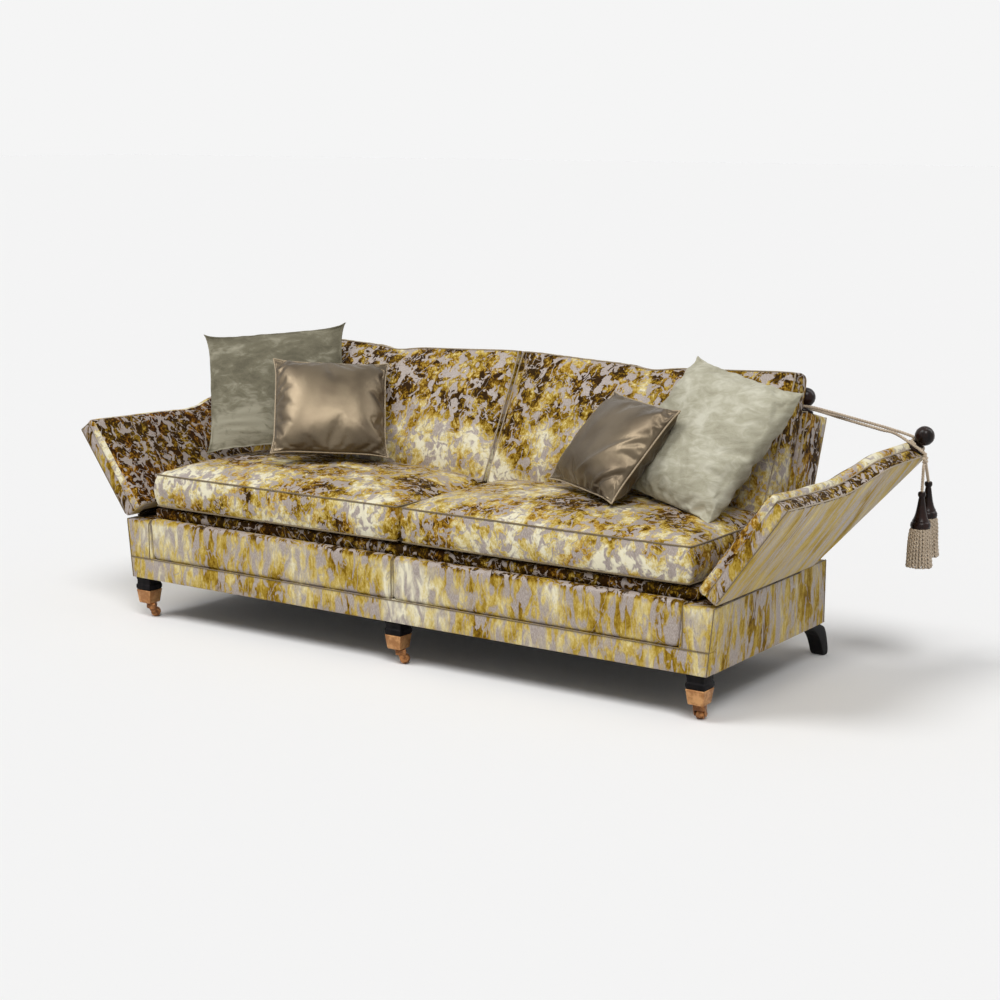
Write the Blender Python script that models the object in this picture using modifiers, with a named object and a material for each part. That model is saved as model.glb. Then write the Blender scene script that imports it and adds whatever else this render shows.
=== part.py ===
"""A drop-arm sofa: two hinged arms tied back with cords and tassels, loose feather cushions,
castors under the front feet and swept feet behind.

Metres, +Z up. X runs along the sofa, the front faces -Y, and the floor is Z = 0.
Inside this file Y is counted from the front of the base, and one root empty centres the sofa.
"""
import math

import bmesh
import bpy
from mathutils import Euler, Matrix, Vector
from mathutils.bvhtree import BVHTree

# Fits
GAP = 0.0003
OVERRUN = 0.01
MERGE = 0.00001

# Base
BASE_END_ROOM = 0.107
BASE_TAPER = 0.020
BASE_DEPTH = 0.765
BASE_BOTTOM = 0.139
BASE_TOP = 0.338
FRONT_LIP_RISE = 0.010
FRONT_LIP_RADIUS = 0.022
BORDER_THICKNESS = 0.045
SIDE_BORDER_THICKNESS = 0.030
BORDER_ROUNDING = 0.008
RAIL_THICKNESS = 0.038
DUST_COVER_THICKNESS = 0.002
DUST_COVER_INSET = 0.030
DECK_THICKNESS = 0.037
DECK_ROUNDING = 0.006
DECK_ARM_CLEARANCE = 0.003
DECK_FRONT_INSET = 0.050

# Back
BACK_LENGTH = 2.04
BACK_RAKE = math.radians(20.0)
BACK_THICKNESS = 0.150
BACK_HEIGHT = 0.445
BACK_ROUNDING = 0.014
BACK_BOARD_THICKNESS = 0.030
BACK_BOARD_DEPTH = 0.035
BACK_BOARD_TOP_INSET = 0.060
BACK_BOARD_SIDE_INSET = 0.050

# Seat cushions
SEAT_WIDTH = 1.008
SEAT_DEPTH = 0.565
SEAT_FRONT = 0.034
SEAT_BORDER = 0.108
SEAT_CROWN = 0.046
SEAT_UNDER_CROWN = 0.012
CUSHION_PARTING = 0.010
BORDER_BULGE = 0.006
CORNER_ROUNDING = 0.022

# Back cushions
BACK_CUSHION_WIDTH = 1.000
BACK_CUSHION_HEIGHT = 0.398
BACK_CUSHION_FOOT = 0.145
BACK_CUSHION_HEAD = 0.092
BACK_CUSHION_CROWN = 0.052
BACK_CUSHION_DIP = 0.014
DIP_WIDTH_SHARE = 0.22
BACK_CUSHION_UNDER_CROWN = 0.006

# Loose cushions
VELVET_SIZE = 0.500
VELVET_HEIGHT = 0.480
VELVET_THICKNESS = 0.150
SATIN_SIZE = 0.415
SATIN_HEIGHT = 0.370
SATIN_THICKNESS = 0.115
CUSHION_EDGE = 0.004
DRAWN_IN_SHARE = 0.085
DROP_TRAVEL = 0.200
SETTLE_CLEARANCE = 0.0005

# Arms
ARM_DROP = math.radians(36.0)
ARM_THICKNESS = 0.078
ARM_FOOT_LENGTH = 0.624
ARM_HEAD_LENGTH = 0.912
ARM_FRONT_HEIGHT = 0.368
ARM_DIP = 0.022
ARM_REAR_HEIGHT = 0.407
ARM_RISE_START = 0.400
ARM_RISE_END = 0.660
ARM_ROUNDING = 0.009
ARM_BOARD_THICKNESS = 0.018
ARM_BOARD_INSET = 0.040

# Arm hinges
BARREL_RADIUS = 0.005
PIN_RADIUS = 0.0020
KNUCKLE_CLEARANCE = 0.0004
LEAF_THICKNESS = 0.002
LEAF_WIDTH = 0.030
HINGE_LENGTH = 0.500
HINGE_FRONT = 0.050
KNUCKLES = 5

# Turned finials
FINIAL_BALL_RADIUS = 0.030
FINIAL_BALL_HEIGHT = 0.049
FINIAL_NECK_RADIUS = 0.0125
FINIAL_NECK_HEIGHT = 0.019
FINIAL_FLANGE_RADIUS = 0.031
FINIAL_FLANGE_THICKNESS = 0.008
ARM_FINIAL_INSET = 0.031
BACK_FINIAL_INSET = 0.033
BACK_FINIAL_DEPTH = 0.112

# Tie cords, knots and tassels
CORD_RADIUS = 0.0045
CORD_POINTS = 12
CORD_SPREAD_SHARE = 1.3
NECK_FLARE_SHARE = 1.25
KNOT_RADIUS = 0.012
KNOT_STAND_OFF = 0.013
KNOT_FORWARD = 0.020
STRAND_LENGTH = 0.073
STRAND_SPLAY_SHARE = 0.5
TASSEL_SPACING = 0.075
TASSEL_SKEW = 0.006
REAR_TASSEL_SKEW = 0.016
REAR_TASSEL_LIFT = 0.020
HEAD_LENGTH = 0.112
HEAD_RADIUS = 0.031
HEAD_BORE = 0.0060
SKIRT_LENGTH = 0.120
SKIRT_TOP_RADIUS = 0.030
SKIRT_RADIUS = 0.035

# Front feet and castors
FOOT_SIZE = 0.062
FOOT_SETBACK = 0.004
FOOT_SIDE_INSET = 0.008
COLLAR_HEIGHT = 0.043
COLLAR_STEP = 0.003
CUP_TOP_SIZE = 0.060
CUP_BOTTOM_SIZE = 0.049
CUP_WALL = 0.0025
CASTOR_HEIGHT = 0.050
WHEEL_RADIUS = 0.017
WHEEL_WIDTH = 0.016
WHEEL_ROUNDING = 0.003
AXLE_RADIUS = 0.0030
AXLE_CLEARANCE = 0.0003
STEM_RADIUS = 0.0045
STEM_CLEARANCE = 0.0004
STEM_LENGTH = 0.018
PLATE_RADIUS = 0.015
PLATE_THICKNESS = 0.004
CASTOR_TRAIL = 0.020
CHEEK_THICKNESS = 0.003
CHEEK_CLEARANCE = 0.0008
CHEEK_HEAD_RADIUS = 0.011
CHEEK_FOOT_RADIUS = 0.0060
CASTOR_TURNS = (math.radians(40.0), math.radians(40.0), math.radians(105.0))

# Rear feet
REAR_FOOT_WIDTH = 0.050
REAR_FOOT_TOP = 0.064
REAR_FOOT_TOE = 0.038
REAR_FOOT_SWEEP = 0.144
REAR_FOOT_START = 0.680
REAR_FOOT_SIDE_INSET = 0.045
REAR_FOOT_EDGE = 0.0015

# Round pieces
ROUND_SEGMENTS = 18
SMALL_SEGMENTS = 12

# Sizes that follow from the ones above
FINIAL_Y = ARM_HEAD_LENGTH - ARM_FINIAL_INSET
KNOT_Y = FINIAL_Y - KNOT_FORWARD
TASSEL_REAR = KNOT_Y + TASSEL_SPACING + SKIRT_RADIUS
OVERALL_DEPTH = TASSEL_REAR
BASE_HALF = SEAT_WIDTH + BASE_END_ROOM + CUSHION_PARTING / 2
BASE_FOOT_HALF = BASE_HALF - BASE_TAPER
HINGE_X = BASE_HALF - BARREL_RADIUS + GAP
UPRIGHT_ARM_INNER = HINGE_X + BARREL_RADIUS - ARM_THICKNESS
DECK_HALF = UPRIGHT_ARM_INNER - DECK_ARM_CLEARANCE
HINGE_Z = BASE_TOP + GAP + BARREL_RADIUS
ARM_FOOT = BARREL_RADIUS + GAP
DECK_TOP = BASE_TOP + DECK_THICKNESS
SEAT_BOTTOM = DECK_TOP + GAP
SEAT_CROWN_TOP = SEAT_BOTTOM + SEAT_UNDER_CROWN + SEAT_BORDER + SEAT_CROWN
RAIL_BOTTOM = BASE_BOTTOM + DUST_COVER_THICKNESS + GAP
RAIL_TOP = BASE_TOP - GAP
RAIL_FRONT = BORDER_THICKNESS + GAP
RAIL_REAR = BASE_DEPTH - SIDE_BORDER_THICKNESS - GAP

COLLECTION_NAME = "sofa"


def clear_scene():
    for old in list(bpy.data.objects):
        bpy.data.objects.remove(old, do_unlink=True)


clear_scene()
scene = bpy.context.scene
parts = bpy.data.collections.new(COLLECTION_NAME)
cutters = bpy.data.collections.new("cutters")
scene.collection.children.link(parts)
scene.collection.children.link(cutters)


def material(name, colour, roughness, metallic=0.0):
    made = bpy.data.materials.new(name)
    made.use_nodes = True
    shader = made.node_tree.nodes["Principled BSDF"]
    shader.inputs["Base Color"].default_value = (*colour, 1.0)
    shader.inputs["Roughness"].default_value = roughness
    shader.inputs["Metallic"].default_value = metallic
    made.diffuse_color = (*colour, 1.0)
    return made


def empty(name, location, parent=None, turn=(0.0, 0.0, 0.0)):
    made = bpy.data.objects.new(name, None)
    made.location = location
    made.rotation_euler = turn
    made.parent = parent
    parts.objects.link(made)
    return made


def new_object(name, mesh, parent, colour=None, collection=None):
    made = bpy.data.objects.new(name, mesh)
    made.parent = parent
    (collection or parts).objects.link(made)
    if colour:
        paint(made, colour)
    return made


def paint(piece, colour):
    """Gives a piece a material of its own, named for the piece."""
    own = colour.copy()
    own.name = piece.name
    piece.data.materials.clear()
    piece.data.materials.append(own)


def mesh_from(work, name):
    mesh = bpy.data.meshes.new(name)
    work.to_mesh(mesh)
    work.free()
    return mesh


def smooth(piece, angle=math.radians(35.0)):
    piece.data.shade_smooth()
    piece.data.set_sharp_from_angle(angle=angle)
    return piece


def bevel(piece, width, segments=2, angle=math.radians(35.0)):
    rounding = piece.modifiers.new("rounding", "BEVEL")
    rounding.width = width
    rounding.segments = segments
    rounding.limit_method = "ANGLE"
    rounding.angle_limit = angle
    return rounding


def cut(piece, cutter, operation="DIFFERENCE"):
    knife = piece.modifiers.new(operation.lower(), "BOOLEAN")
    knife.operation = operation
    knife.solver = "EXACT"
    knife.object = cutter
    cutter.hide_render = True
    cutter.display_type = "WIRE"


def box(name, low, high, parent, colour=None, collection=None):
    """A box between two corners, its origin at its centre."""
    low, high = Vector(low), Vector(high)
    work = bmesh.new()
    bmesh.ops.create_cube(work, size=1.0)
    bmesh.ops.scale(work, vec=high - low, verts=work.verts)
    made = new_object(name, mesh_from(work, name), parent, colour, collection)
    made.location = (low + high) / 2
    return made


def baked(piece, name=None):
    """A mesh object in place of a curve or a piece with modifiers."""
    bpy.context.view_layer.update()
    shown = piece.evaluated_get(bpy.context.evaluated_depsgraph_get())
    mesh = bpy.data.meshes.new_from_object(shown)
    work = bmesh.new()
    work.from_mesh(mesh)
    bmesh.ops.remove_doubles(work, verts=work.verts, dist=MERGE)
    work.to_mesh(mesh)
    work.free()
    made = bpy.data.objects.new(name or piece.name, mesh)
    made.parent = piece.parent
    made.matrix_basis = piece.matrix_basis.copy()
    collection = piece.users_collection[0]
    old_name = piece.name
    bpy.data.objects.remove(piece, do_unlink=True)
    collection.objects.link(made)
    made.name = name or old_name
    mesh.name = made.name
    return made


def extruded(name, outline, low, high, parent, colour=None, collection=None):
    """A flat outline in the Y-Z plane, extruded along X from low to high."""
    curve = bpy.data.curves.new(name, "CURVE")
    curve.dimensions = "2D"
    curve.fill_mode = "BOTH"
    curve.extrude = (high - low) / 2
    spline = curve.splines.new("POLY")
    spline.points.add(len(outline) - 1)
    for point, (across, up) in zip(spline.points, outline):
        point.co = (across, up, 0.0, 1.0)
    spline.use_cyclic_u = True
    flat = bpy.data.objects.new(name, curve)
    flat.parent = parent
    (collection or parts).objects.link(flat)
    flat.rotation_euler = (math.pi / 2, 0.0, math.pi / 2)
    flat.location = ((low + high) / 2, 0.0, 0.0)
    made = baked(flat)
    made.data.transform(made.matrix_basis)
    made.matrix_basis = Matrix.Identity(4)
    if colour:
        paint(made, colour)
    return made


def turned(name, profile, parent, colour=None, closed=False, collection=None):
    """A turned piece: (radius, height) points, down the outer side, spun round Z."""
    work = bmesh.new()
    points = [work.verts.new((radius, 0.0, height)) for radius, height in profile]
    for first, second in zip(points, points[1:]):
        work.edges.new((first, second))
    if closed:
        work.edges.new((points[-1], points[0]))
    made = new_object(name, mesh_from(work, name), parent, colour, collection)
    spin = made.modifiers.new("spin", "SCREW")
    spin.steps = ROUND_SEGMENTS
    spin.render_steps = ROUND_SEGMENTS
    spin.use_merge_vertices = True
    spin.merge_threshold = MERGE
    spin.use_smooth_shade = True
    return made


def tube(name, points, radius, parent, colour=None, collection=None, cyclic=False):
    curve = bpy.data.curves.new(name, "CURVE")
    curve.dimensions = "3D"
    curve.bevel_depth = radius
    curve.bevel_resolution = 2
    curve.use_fill_caps = True
    spline = curve.splines.new("POLY")
    spline.points.add(len(points) - 1)
    for point, place in zip(spline.points, points):
        point.co = (*place, 1.0)
    spline.use_cyclic_u = cyclic
    made = bpy.data.objects.new(name, curve)
    made.parent = parent
    (collection or parts).objects.link(made)
    if colour:
        paint(made, colour)
    return made


def mirrored(piece, name, parent):
    """The same piece on the other side of the sofa, or of the arm's own frame."""
    bpy.context.view_layer.update()
    shown = piece.evaluated_get(bpy.context.evaluated_depsgraph_get())
    mesh = bpy.data.meshes.new_from_object(shown)
    mesh.transform(Matrix.Scale(-1.0, 4, (1.0, 0.0, 0.0)) @ piece.matrix_basis)
    mesh.flip_normals()
    made = new_object(name, mesh, parent)
    paint(made, piece.data.materials[0])
    return made


# Materials
brocade = material("brocade", (0.42, 0.34, 0.16), 0.55)
platform_cloth = material("platform_cloth", (0.05, 0.03, 0.015), 0.8)
black_cloth = material("black_cloth", (0.02, 0.02, 0.02), 0.9)
beech = material("beech", (0.45, 0.28, 0.13), 0.6)
dark_wood = material("dark_wood", (0.022, 0.010, 0.007), 0.25)
ebonised = material("ebonised", (0.010, 0.010, 0.012), 0.4)
copper = material("copper", (0.43, 0.20, 0.07), 0.35, 0.9)
old_brass = material("old_brass", (0.22, 0.10, 0.035), 0.4, 0.9)
steel = material("steel", (0.5, 0.5, 0.5), 0.35, 1.0)
sage_velvet = material("sage_velvet", (0.31, 0.30, 0.22), 0.7)
bronze_satin = material("bronze_satin", (0.28, 0.19, 0.11), 0.3)
rope = material("rope", (0.38, 0.30, 0.21), 0.8)

root = empty("sofa_centre", (0.0, -OVERALL_DEPTH / 2, 0.0))


# Base frame and its upholstery
def base_half_at(height):
    """Half the length of the base, which tapers in towards the floor."""
    share = (height - BASE_BOTTOM) / (BASE_TOP - BASE_BOTTOM)
    return BASE_HALF - BASE_TAPER * (1 - share)


def taper(piece, inner=None):
    """Draws the ends of a base piece in to the base's own slope."""
    for corner in piece.data.vertices:
        place = piece.location + corner.co
        if inner is None or abs(place.x) > inner:
            slope = BASE_HALF - base_half_at(place.z)
            corner.co.x -= math.copysign(1.0, place.x) * slope


def make_base():
    front = box("front_border", (-BASE_HALF, 0.0, BASE_BOTTOM),
                (BASE_HALF, BORDER_THICKNESS, BASE_TOP + FRONT_LIP_RISE), root, brocade)
    taper(front)
    lip = bevel(front, FRONT_LIP_RADIUS, 4, math.radians(60.0))
    lip.limit_method = "WEIGHT"
    weights = front.data.attributes.new("bevel_weight_edge", "FLOAT", "EDGE")
    for edge, weight in zip(front.data.edges, weights.data):
        ends = [front.data.vertices[i].co for i in edge.vertices]
        along_top = all(end.z > 0 for end in ends) and ends[0].x * ends[1].x < 0
        weight.value = 1.0 if along_top else BORDER_ROUNDING / FRONT_LIP_RADIUS

    side_start = BORDER_THICKNESS + GAP
    side_end = BASE_DEPTH - SIDE_BORDER_THICKNESS - GAP
    side = box("right_side_border", (BASE_HALF - SIDE_BORDER_THICKNESS, side_start, BASE_BOTTOM),
               (BASE_HALF, side_end, BASE_TOP), root, brocade)
    taper(side, BASE_HALF - SIDE_BORDER_THICKNESS / 2)
    mirrored(side, "left_side_border", root)
    rear = box("rear_border", (-BASE_HALF, BASE_DEPTH - SIDE_BORDER_THICKNESS, BASE_BOTTOM),
               (BASE_HALF, BASE_DEPTH, BASE_TOP), root, brocade)
    taper(rear)
    bevel(rear, BORDER_ROUNDING / 2, 1)

    rail_end = BASE_HALF - SIDE_BORDER_THICKNESS - GAP
    box("front_rail", (-rail_end, RAIL_FRONT, RAIL_BOTTOM),
        (rail_end, RAIL_FRONT + RAIL_THICKNESS, RAIL_TOP), root, beech)
    box("rear_rail", (-rail_end, RAIL_REAR - RAIL_THICKNESS, RAIL_BOTTOM),
        (rail_end, RAIL_REAR, RAIL_TOP), root, beech)
    cross_start = RAIL_FRONT + RAIL_THICKNESS + GAP
    cross_end = RAIL_REAR - RAIL_THICKNESS - GAP
    for name, centre in (("left_rail", RAIL_THICKNESS / 2 - rail_end), ("centre_rail", 0.0),
                         ("right_rail", rail_end - RAIL_THICKNESS / 2)):
        box(name, (centre - RAIL_THICKNESS / 2, cross_start, RAIL_BOTTOM),
            (centre + RAIL_THICKNESS / 2, cross_end, RAIL_TOP), root, beech)

    box("dust_cover", (-rail_end + DUST_COVER_INSET, RAIL_FRONT + DUST_COVER_INSET, BASE_BOTTOM),
        (rail_end - DUST_COVER_INSET, RAIL_REAR - DUST_COVER_INSET, BASE_BOTTOM + DUST_COVER_THICKNESS),
        root, black_cloth)
    deck = box("seat_deck", (-DECK_HALF, DECK_FRONT_INSET, BASE_TOP),
               (DECK_HALF, back_front_at(DECK_TOP) - BACK_ROUNDING - GAP, DECK_TOP),
               root, platform_cloth)
    bevel(deck, DECK_ROUNDING, 2)


# Back
def back_rear_at(height):
    """Y of the raked rear face of the back at a height."""
    return BASE_DEPTH + (height - BASE_TOP) * math.tan(BACK_RAKE)


def back_front_at(height):
    return back_rear_at(height) - BACK_THICKNESS / math.cos(BACK_RAKE)


def back_outline(front_depth, rear_depth, top_inset, foot):
    """A side outline between two depths from the rear face, in the raked slab."""
    up = Vector((math.sin(BACK_RAKE), math.cos(BACK_RAKE)))
    inward = Vector((-math.cos(BACK_RAKE), math.sin(BACK_RAKE)))
    rear_foot = Vector((BASE_DEPTH, BASE_TOP))
    top = rear_foot + up * (BACK_HEIGHT - top_inset)
    rear_top = top + inward * rear_depth
    front_top = top + inward * front_depth
    along_rear = rear_top - up * (rear_top.y - foot) / up.y
    along_front = front_top - up * (front_top.y - foot) / up.y
    return [tuple(along_front), tuple(along_rear), tuple(rear_top), tuple(front_top)]


def make_back():
    foot = BASE_TOP + GAP
    slab = extruded("back_upholstery", back_outline(BACK_THICKNESS, 0.0, 0.0, foot),
                    -BACK_LENGTH / 2, BACK_LENGTH / 2, root, brocade)
    bevel(slab, BACK_ROUNDING, 3)
    slot_half = BACK_LENGTH / 2 - BACK_BOARD_SIDE_INSET + GAP
    slot = extruded("back_slot",
                    back_outline(BACK_BOARD_DEPTH + BACK_BOARD_THICKNESS + GAP, BACK_BOARD_DEPTH - GAP,
                                 BACK_BOARD_TOP_INSET - GAP, foot - OVERRUN),
                    -slot_half, slot_half, root, collection=cutters)
    cut(slab, slot)
    board_half = BACK_LENGTH / 2 - BACK_BOARD_SIDE_INSET
    extruded("back_frame",
             back_outline(BACK_BOARD_DEPTH + BACK_BOARD_THICKNESS, BACK_BOARD_DEPTH,
                          BACK_BOARD_TOP_INSET, foot),
             -board_half, board_half, root, beech)


# Cushions
def gridded_box(cells_x, cells_y, cells_z):
    """A box of size 2 with its edges divided, to be shaped by a formula."""
    work = bmesh.new()
    bmesh.ops.create_cube(work, size=2.0)
    for axis, cells in enumerate((cells_x, cells_y, cells_z)):
        along = [edge for edge in work.edges
                 if abs(edge.verts[0].co[axis] - edge.verts[1].co[axis]) > 1.0]
        if cells > 1:
            bmesh.ops.subdivide_edges(work, edges=along, cuts=cells - 1, use_grid_fill=True)
    return work


def crowded(value):
    """Moves grid lines towards the edges, where a cushion turns fastest."""
    return math.sin(value * math.pi / 2)


def crown_share(u, v, power):
    return max(0.0, (1 - u * u) * (1 - v * v)) ** power


def loose_cushion(name, width, height, thickness, colour):
    """A knife-edge cushion: eared corners, drawn-in sides, full middle. Z up, front at -Y."""
    work = gridded_box(10, 1, 10)
    for point in work.verts:
        u, v = crowded(point.co.x), crowded(point.co.z)
        side = math.copysign(1.0, point.co.y)
        draw_x = DRAWN_IN_SHARE * (1 - v * v) * u * u
        draw_z = DRAWN_IN_SHARE * (1 - u * u) * v * v
        swell = (thickness / 2 - CUSHION_EDGE) * crown_share(u, v, 0.48)
        point.co = (width / 2 * u * (1 - draw_x), side * (CUSHION_EDGE + swell), height / 2 * v * (1 - draw_z))
    made = new_object(name, mesh_from(work, name), root, colour)
    return smooth(made, math.radians(60.0))


def boxed_plan(u, v, width, depth, middle):
    """The rounded plan of a boxed cushion, its border bulging at mid height."""
    corner = CORNER_ROUNDING * (abs(u) ** 5) * (abs(v) ** 5)
    outward = BORDER_BULGE * middle
    x = math.copysign(1.0, u) * (abs(u) * (width / 2 - BORDER_BULGE - corner) + outward * abs(u) ** 6)
    y = math.copysign(1.0, v) * (abs(v) * (depth / 2 - BORDER_BULGE - corner) + outward * abs(v) ** 6)
    return x, y


def make_seat_cushion(name, side):
    work = gridded_box(12, 8, 2)
    for point in work.verts:
        u, v, w = crowded(point.co.x), crowded(point.co.y), point.co.z
        x, y = boxed_plan(u, v, SEAT_WIDTH, SEAT_DEPTH, 1 - w * w)
        crown = SEAT_CROWN if w > 0 else SEAT_UNDER_CROWN
        z = w * (SEAT_BORDER / 2 + crown * crown_share(u, v, 0.5) * abs(w))
        point.co = (x, y, z)
    made = new_object(name, mesh_from(work, name), root, brocade)
    made.location = (side * (SEAT_WIDTH + CUSHION_PARTING) / 2, SEAT_FRONT + SEAT_DEPTH / 2,
                     SEAT_BOTTOM + SEAT_UNDER_CROWN + SEAT_BORDER / 2)
    return smooth(made, math.radians(50.0))


def make_back_cushion(name, side):
    """A wedge on the raked slab: thick at the foot, thin at the head, with a soft dip on top."""
    work = gridded_box(14, 2, 8)
    for point in work.verts:
        u, w, v = crowded(point.co.x), point.co.y, crowded(point.co.z)
        x, z = boxed_plan(u, v, BACK_CUSHION_WIDTH, BACK_CUSHION_HEIGHT, 1 - w * w)
        share = (v + 1) / 2
        border = BACK_CUSHION_FOOT + (BACK_CUSHION_HEAD - BACK_CUSHION_FOOT) * share
        z -= BACK_CUSHION_DIP * math.exp(-(u / DIP_WIDTH_SHARE) ** 2) * max(0.0, v) ** 3
        front = border + BACK_CUSHION_CROWN * crown_share(u, v, 0.5)
        y = -front * (1 - w) / 2
        point.co = (x, y, z)
    made = new_object(name, mesh_from(work, name), root, brocade)
    up = Vector((0.0, math.sin(BACK_RAKE), math.cos(BACK_RAKE)))
    out = Vector((0.0, -math.cos(BACK_RAKE), math.sin(BACK_RAKE)))
    foot = SEAT_CROWN_TOP + BACK_CUSHION_UNDER_CROWN - BACK_CUSHION_FOOT * math.sin(BACK_RAKE)
    on_slab = Vector((0.0, back_front_at(foot), foot))
    made.location = on_slab + up * BACK_CUSHION_HEIGHT / 2 + out * GAP
    made.location.x = side * (BACK_CUSHION_WIDTH + CUSHION_PARTING) / 2
    made.rotation_euler = (-BACK_RAKE, 0.0, 0.0)
    return smooth(made, math.radians(50.0))


def world_tree(piece, shift=None):
    """The piece's surface in the root's frame, moved by shift."""
    place = piece.matrix_world.copy()
    if shift is not None:
        place = Matrix.Translation(shift) @ place
    corners = [place @ corner.co for corner in piece.data.vertices]
    return BVHTree.FromPolygons(corners, [tuple(face.vertices) for face in piece.data.polygons])


def settle(piece, direction, others):
    """Slides a cushion from a clear start along direction until it rests on one of the others."""
    bpy.context.view_layer.update()
    direction = Vector(direction).normalized()
    trees = [world_tree(other) for other in others]
    near, far = -DROP_TRAVEL, DROP_TRAVEL
    for _ in range(24):
        middle = (near + far) / 2
        moved = world_tree(piece, direction * middle)
        if any(moved.overlap(tree) for tree in trees):
            far = middle
        else:
            near = middle
    piece.location += direction * (near - SETTLE_CLEARANCE)


def place_loose(piece, height, place_shares, degrees):
    """Turns a cushion from the front, leans its top back and rolls it in its own plane.

    Its place is given in shares of the half base, of the seat's depth and of its own height.
    """
    yaw, lean, roll = (math.radians(angle) for angle in degrees)
    turn = Matrix.Rotation(yaw, 3, "Z") @ Matrix.Rotation(-lean, 3, "X") @ Matrix.Rotation(roll, 3, "Y")
    piece.rotation_euler = turn.to_euler()
    across, back, up = place_shares
    piece.location = (across * BASE_HALF, SEAT_FRONT + back * SEAT_DEPTH, SEAT_CROWN_TOP + up * height)


def make_cushions():
    seats = [make_seat_cushion("left_seat_cushion", -1), make_seat_cushion("right_seat_cushion", 1)]
    backs = [make_back_cushion("left_back_cushion", -1), make_back_cushion("right_back_cushion", 1)]
    fixed = seats + backs
    down_and_back = (0.0, 0.45, -0.9)
    velvet_left = loose_cushion("left_velvet_cushion", VELVET_SIZE, VELVET_HEIGHT, VELVET_THICKNESS, sage_velvet)
    place_loose(velvet_left, VELVET_HEIGHT, (-0.746, 0.736, 0.445), (27.0, 28.0, -5.0))
    settle(velvet_left, down_and_back, fixed)
    velvet_right = loose_cushion("right_velvet_cushion", VELVET_SIZE, VELVET_HEIGHT, VELVET_THICKNESS, sage_velvet)
    place_loose(velvet_right, VELVET_HEIGHT, (0.719, 0.772, 0.435), (-14.0, 38.0, 13.0))
    settle(velvet_right, down_and_back, fixed)
    satin_left = loose_cushion("left_satin_cushion", SATIN_SIZE, SATIN_HEIGHT, SATIN_THICKNESS, bronze_satin)
    place_loose(satin_left, SATIN_HEIGHT, (-0.491, 0.621, 0.469), (34.0, 32.0, 4.0))
    settle(satin_left, down_and_back, fixed + [velvet_left])
    satin_right = loose_cushion("right_satin_cushion", SATIN_SIZE, SATIN_HEIGHT, SATIN_THICKNESS, bronze_satin)
    place_loose(satin_right, SATIN_HEIGHT, (0.4875, 0.600, 0.402), (-28.0, 40.0, 2.0))
    settle(satin_right, down_and_back, fixed + [velvet_right])


# Turned finials
def arc(centre_r, centre_z, radius, start, end, steps):
    """Points along an arc in the (radius, height) plane."""
    return [(centre_r + radius * math.cos(start + (end - start) * i / steps),
             centre_z + radius * math.sin(start + (end - start) * i / steps)) for i in range(steps + 1)]


def finial_profile():
    neck_meets = math.asin((FINIAL_NECK_RADIUS + FINIAL_FLANGE_THICKNESS / 4) / FINIAL_BALL_RADIUS)
    ball = arc(0.0, FINIAL_BALL_HEIGHT, FINIAL_BALL_RADIUS, math.pi / 2, -math.pi / 2 + neck_meets, 8)
    ball[0] = (0.0, ball[0][1])
    neck = [(FINIAL_NECK_RADIUS, FINIAL_NECK_HEIGHT),
            (FINIAL_NECK_RADIUS * NECK_FLARE_SHARE, FINIAL_FLANGE_THICKNESS * 1.5)]
    flange = [(FINIAL_FLANGE_RADIUS * 0.9, FINIAL_FLANGE_THICKNESS),
              (FINIAL_FLANGE_RADIUS, FINIAL_FLANGE_THICKNESS * 0.7),
              (FINIAL_FLANGE_RADIUS, FINIAL_FLANGE_THICKNESS * 0.2),
              (FINIAL_FLANGE_RADIUS * 0.95, 0.0), (0.0, 0.0)]
    return ball + neck + flange


def back_finial_place(side):
    """Where a back finial stands on the slab's top face, and its tilt."""
    up = Vector((0.0, math.sin(BACK_RAKE), math.cos(BACK_RAKE)))
    inward = Vector((0.0, -math.cos(BACK_RAKE), math.sin(BACK_RAKE)))
    foot = Vector((side * (BACK_LENGTH / 2 - BACK_FINIAL_INSET), BASE_DEPTH, BASE_TOP))
    return foot + up * (BACK_HEIGHT + GAP) + inward * BACK_FINIAL_DEPTH, up


def make_back_finials():
    for word, side in (("left", -1), ("right", 1)):
        place, _ = back_finial_place(side)
        knob = turned(word + "_back_finial", finial_profile(), root, dark_wood)
        knob.location = place
        knob.rotation_euler = (-BACK_RAKE, 0.0, 0.0)


# Arms, in a frame on the hinge axis: X outwards, Y along the hinge, Z up the arm
def arm_top(along):
    """Height of the arm's top edge: low and slightly dipped in front, swept up to the rear."""
    if along <= ARM_RISE_START:
        return ARM_FRONT_HEIGHT - ARM_DIP * math.sin(along / ARM_RISE_START * math.pi / 2)
    low = ARM_FRONT_HEIGHT - ARM_DIP
    share = min(1.0, (along - ARM_RISE_START) / (ARM_RISE_END - ARM_RISE_START))
    return low + (ARM_REAR_HEIGHT - low) * share * share * (3 - 2 * share)


def arm_outline():
    outline = [(0.0, ARM_FOOT), (ARM_FOOT_LENGTH, ARM_FOOT)]
    outline.append((ARM_HEAD_LENGTH, ARM_REAR_HEIGHT))
    steps = 10
    for i in range(steps + 1):
        along = ARM_RISE_END + (ARM_RISE_START - ARM_RISE_END) * i / steps
        outline.append((along, arm_top(along)))
    for i in range(1, 6):
        along = ARM_RISE_START * (1 - i / 5)
        outline.append((along, arm_top(along)))
    return outline


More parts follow.
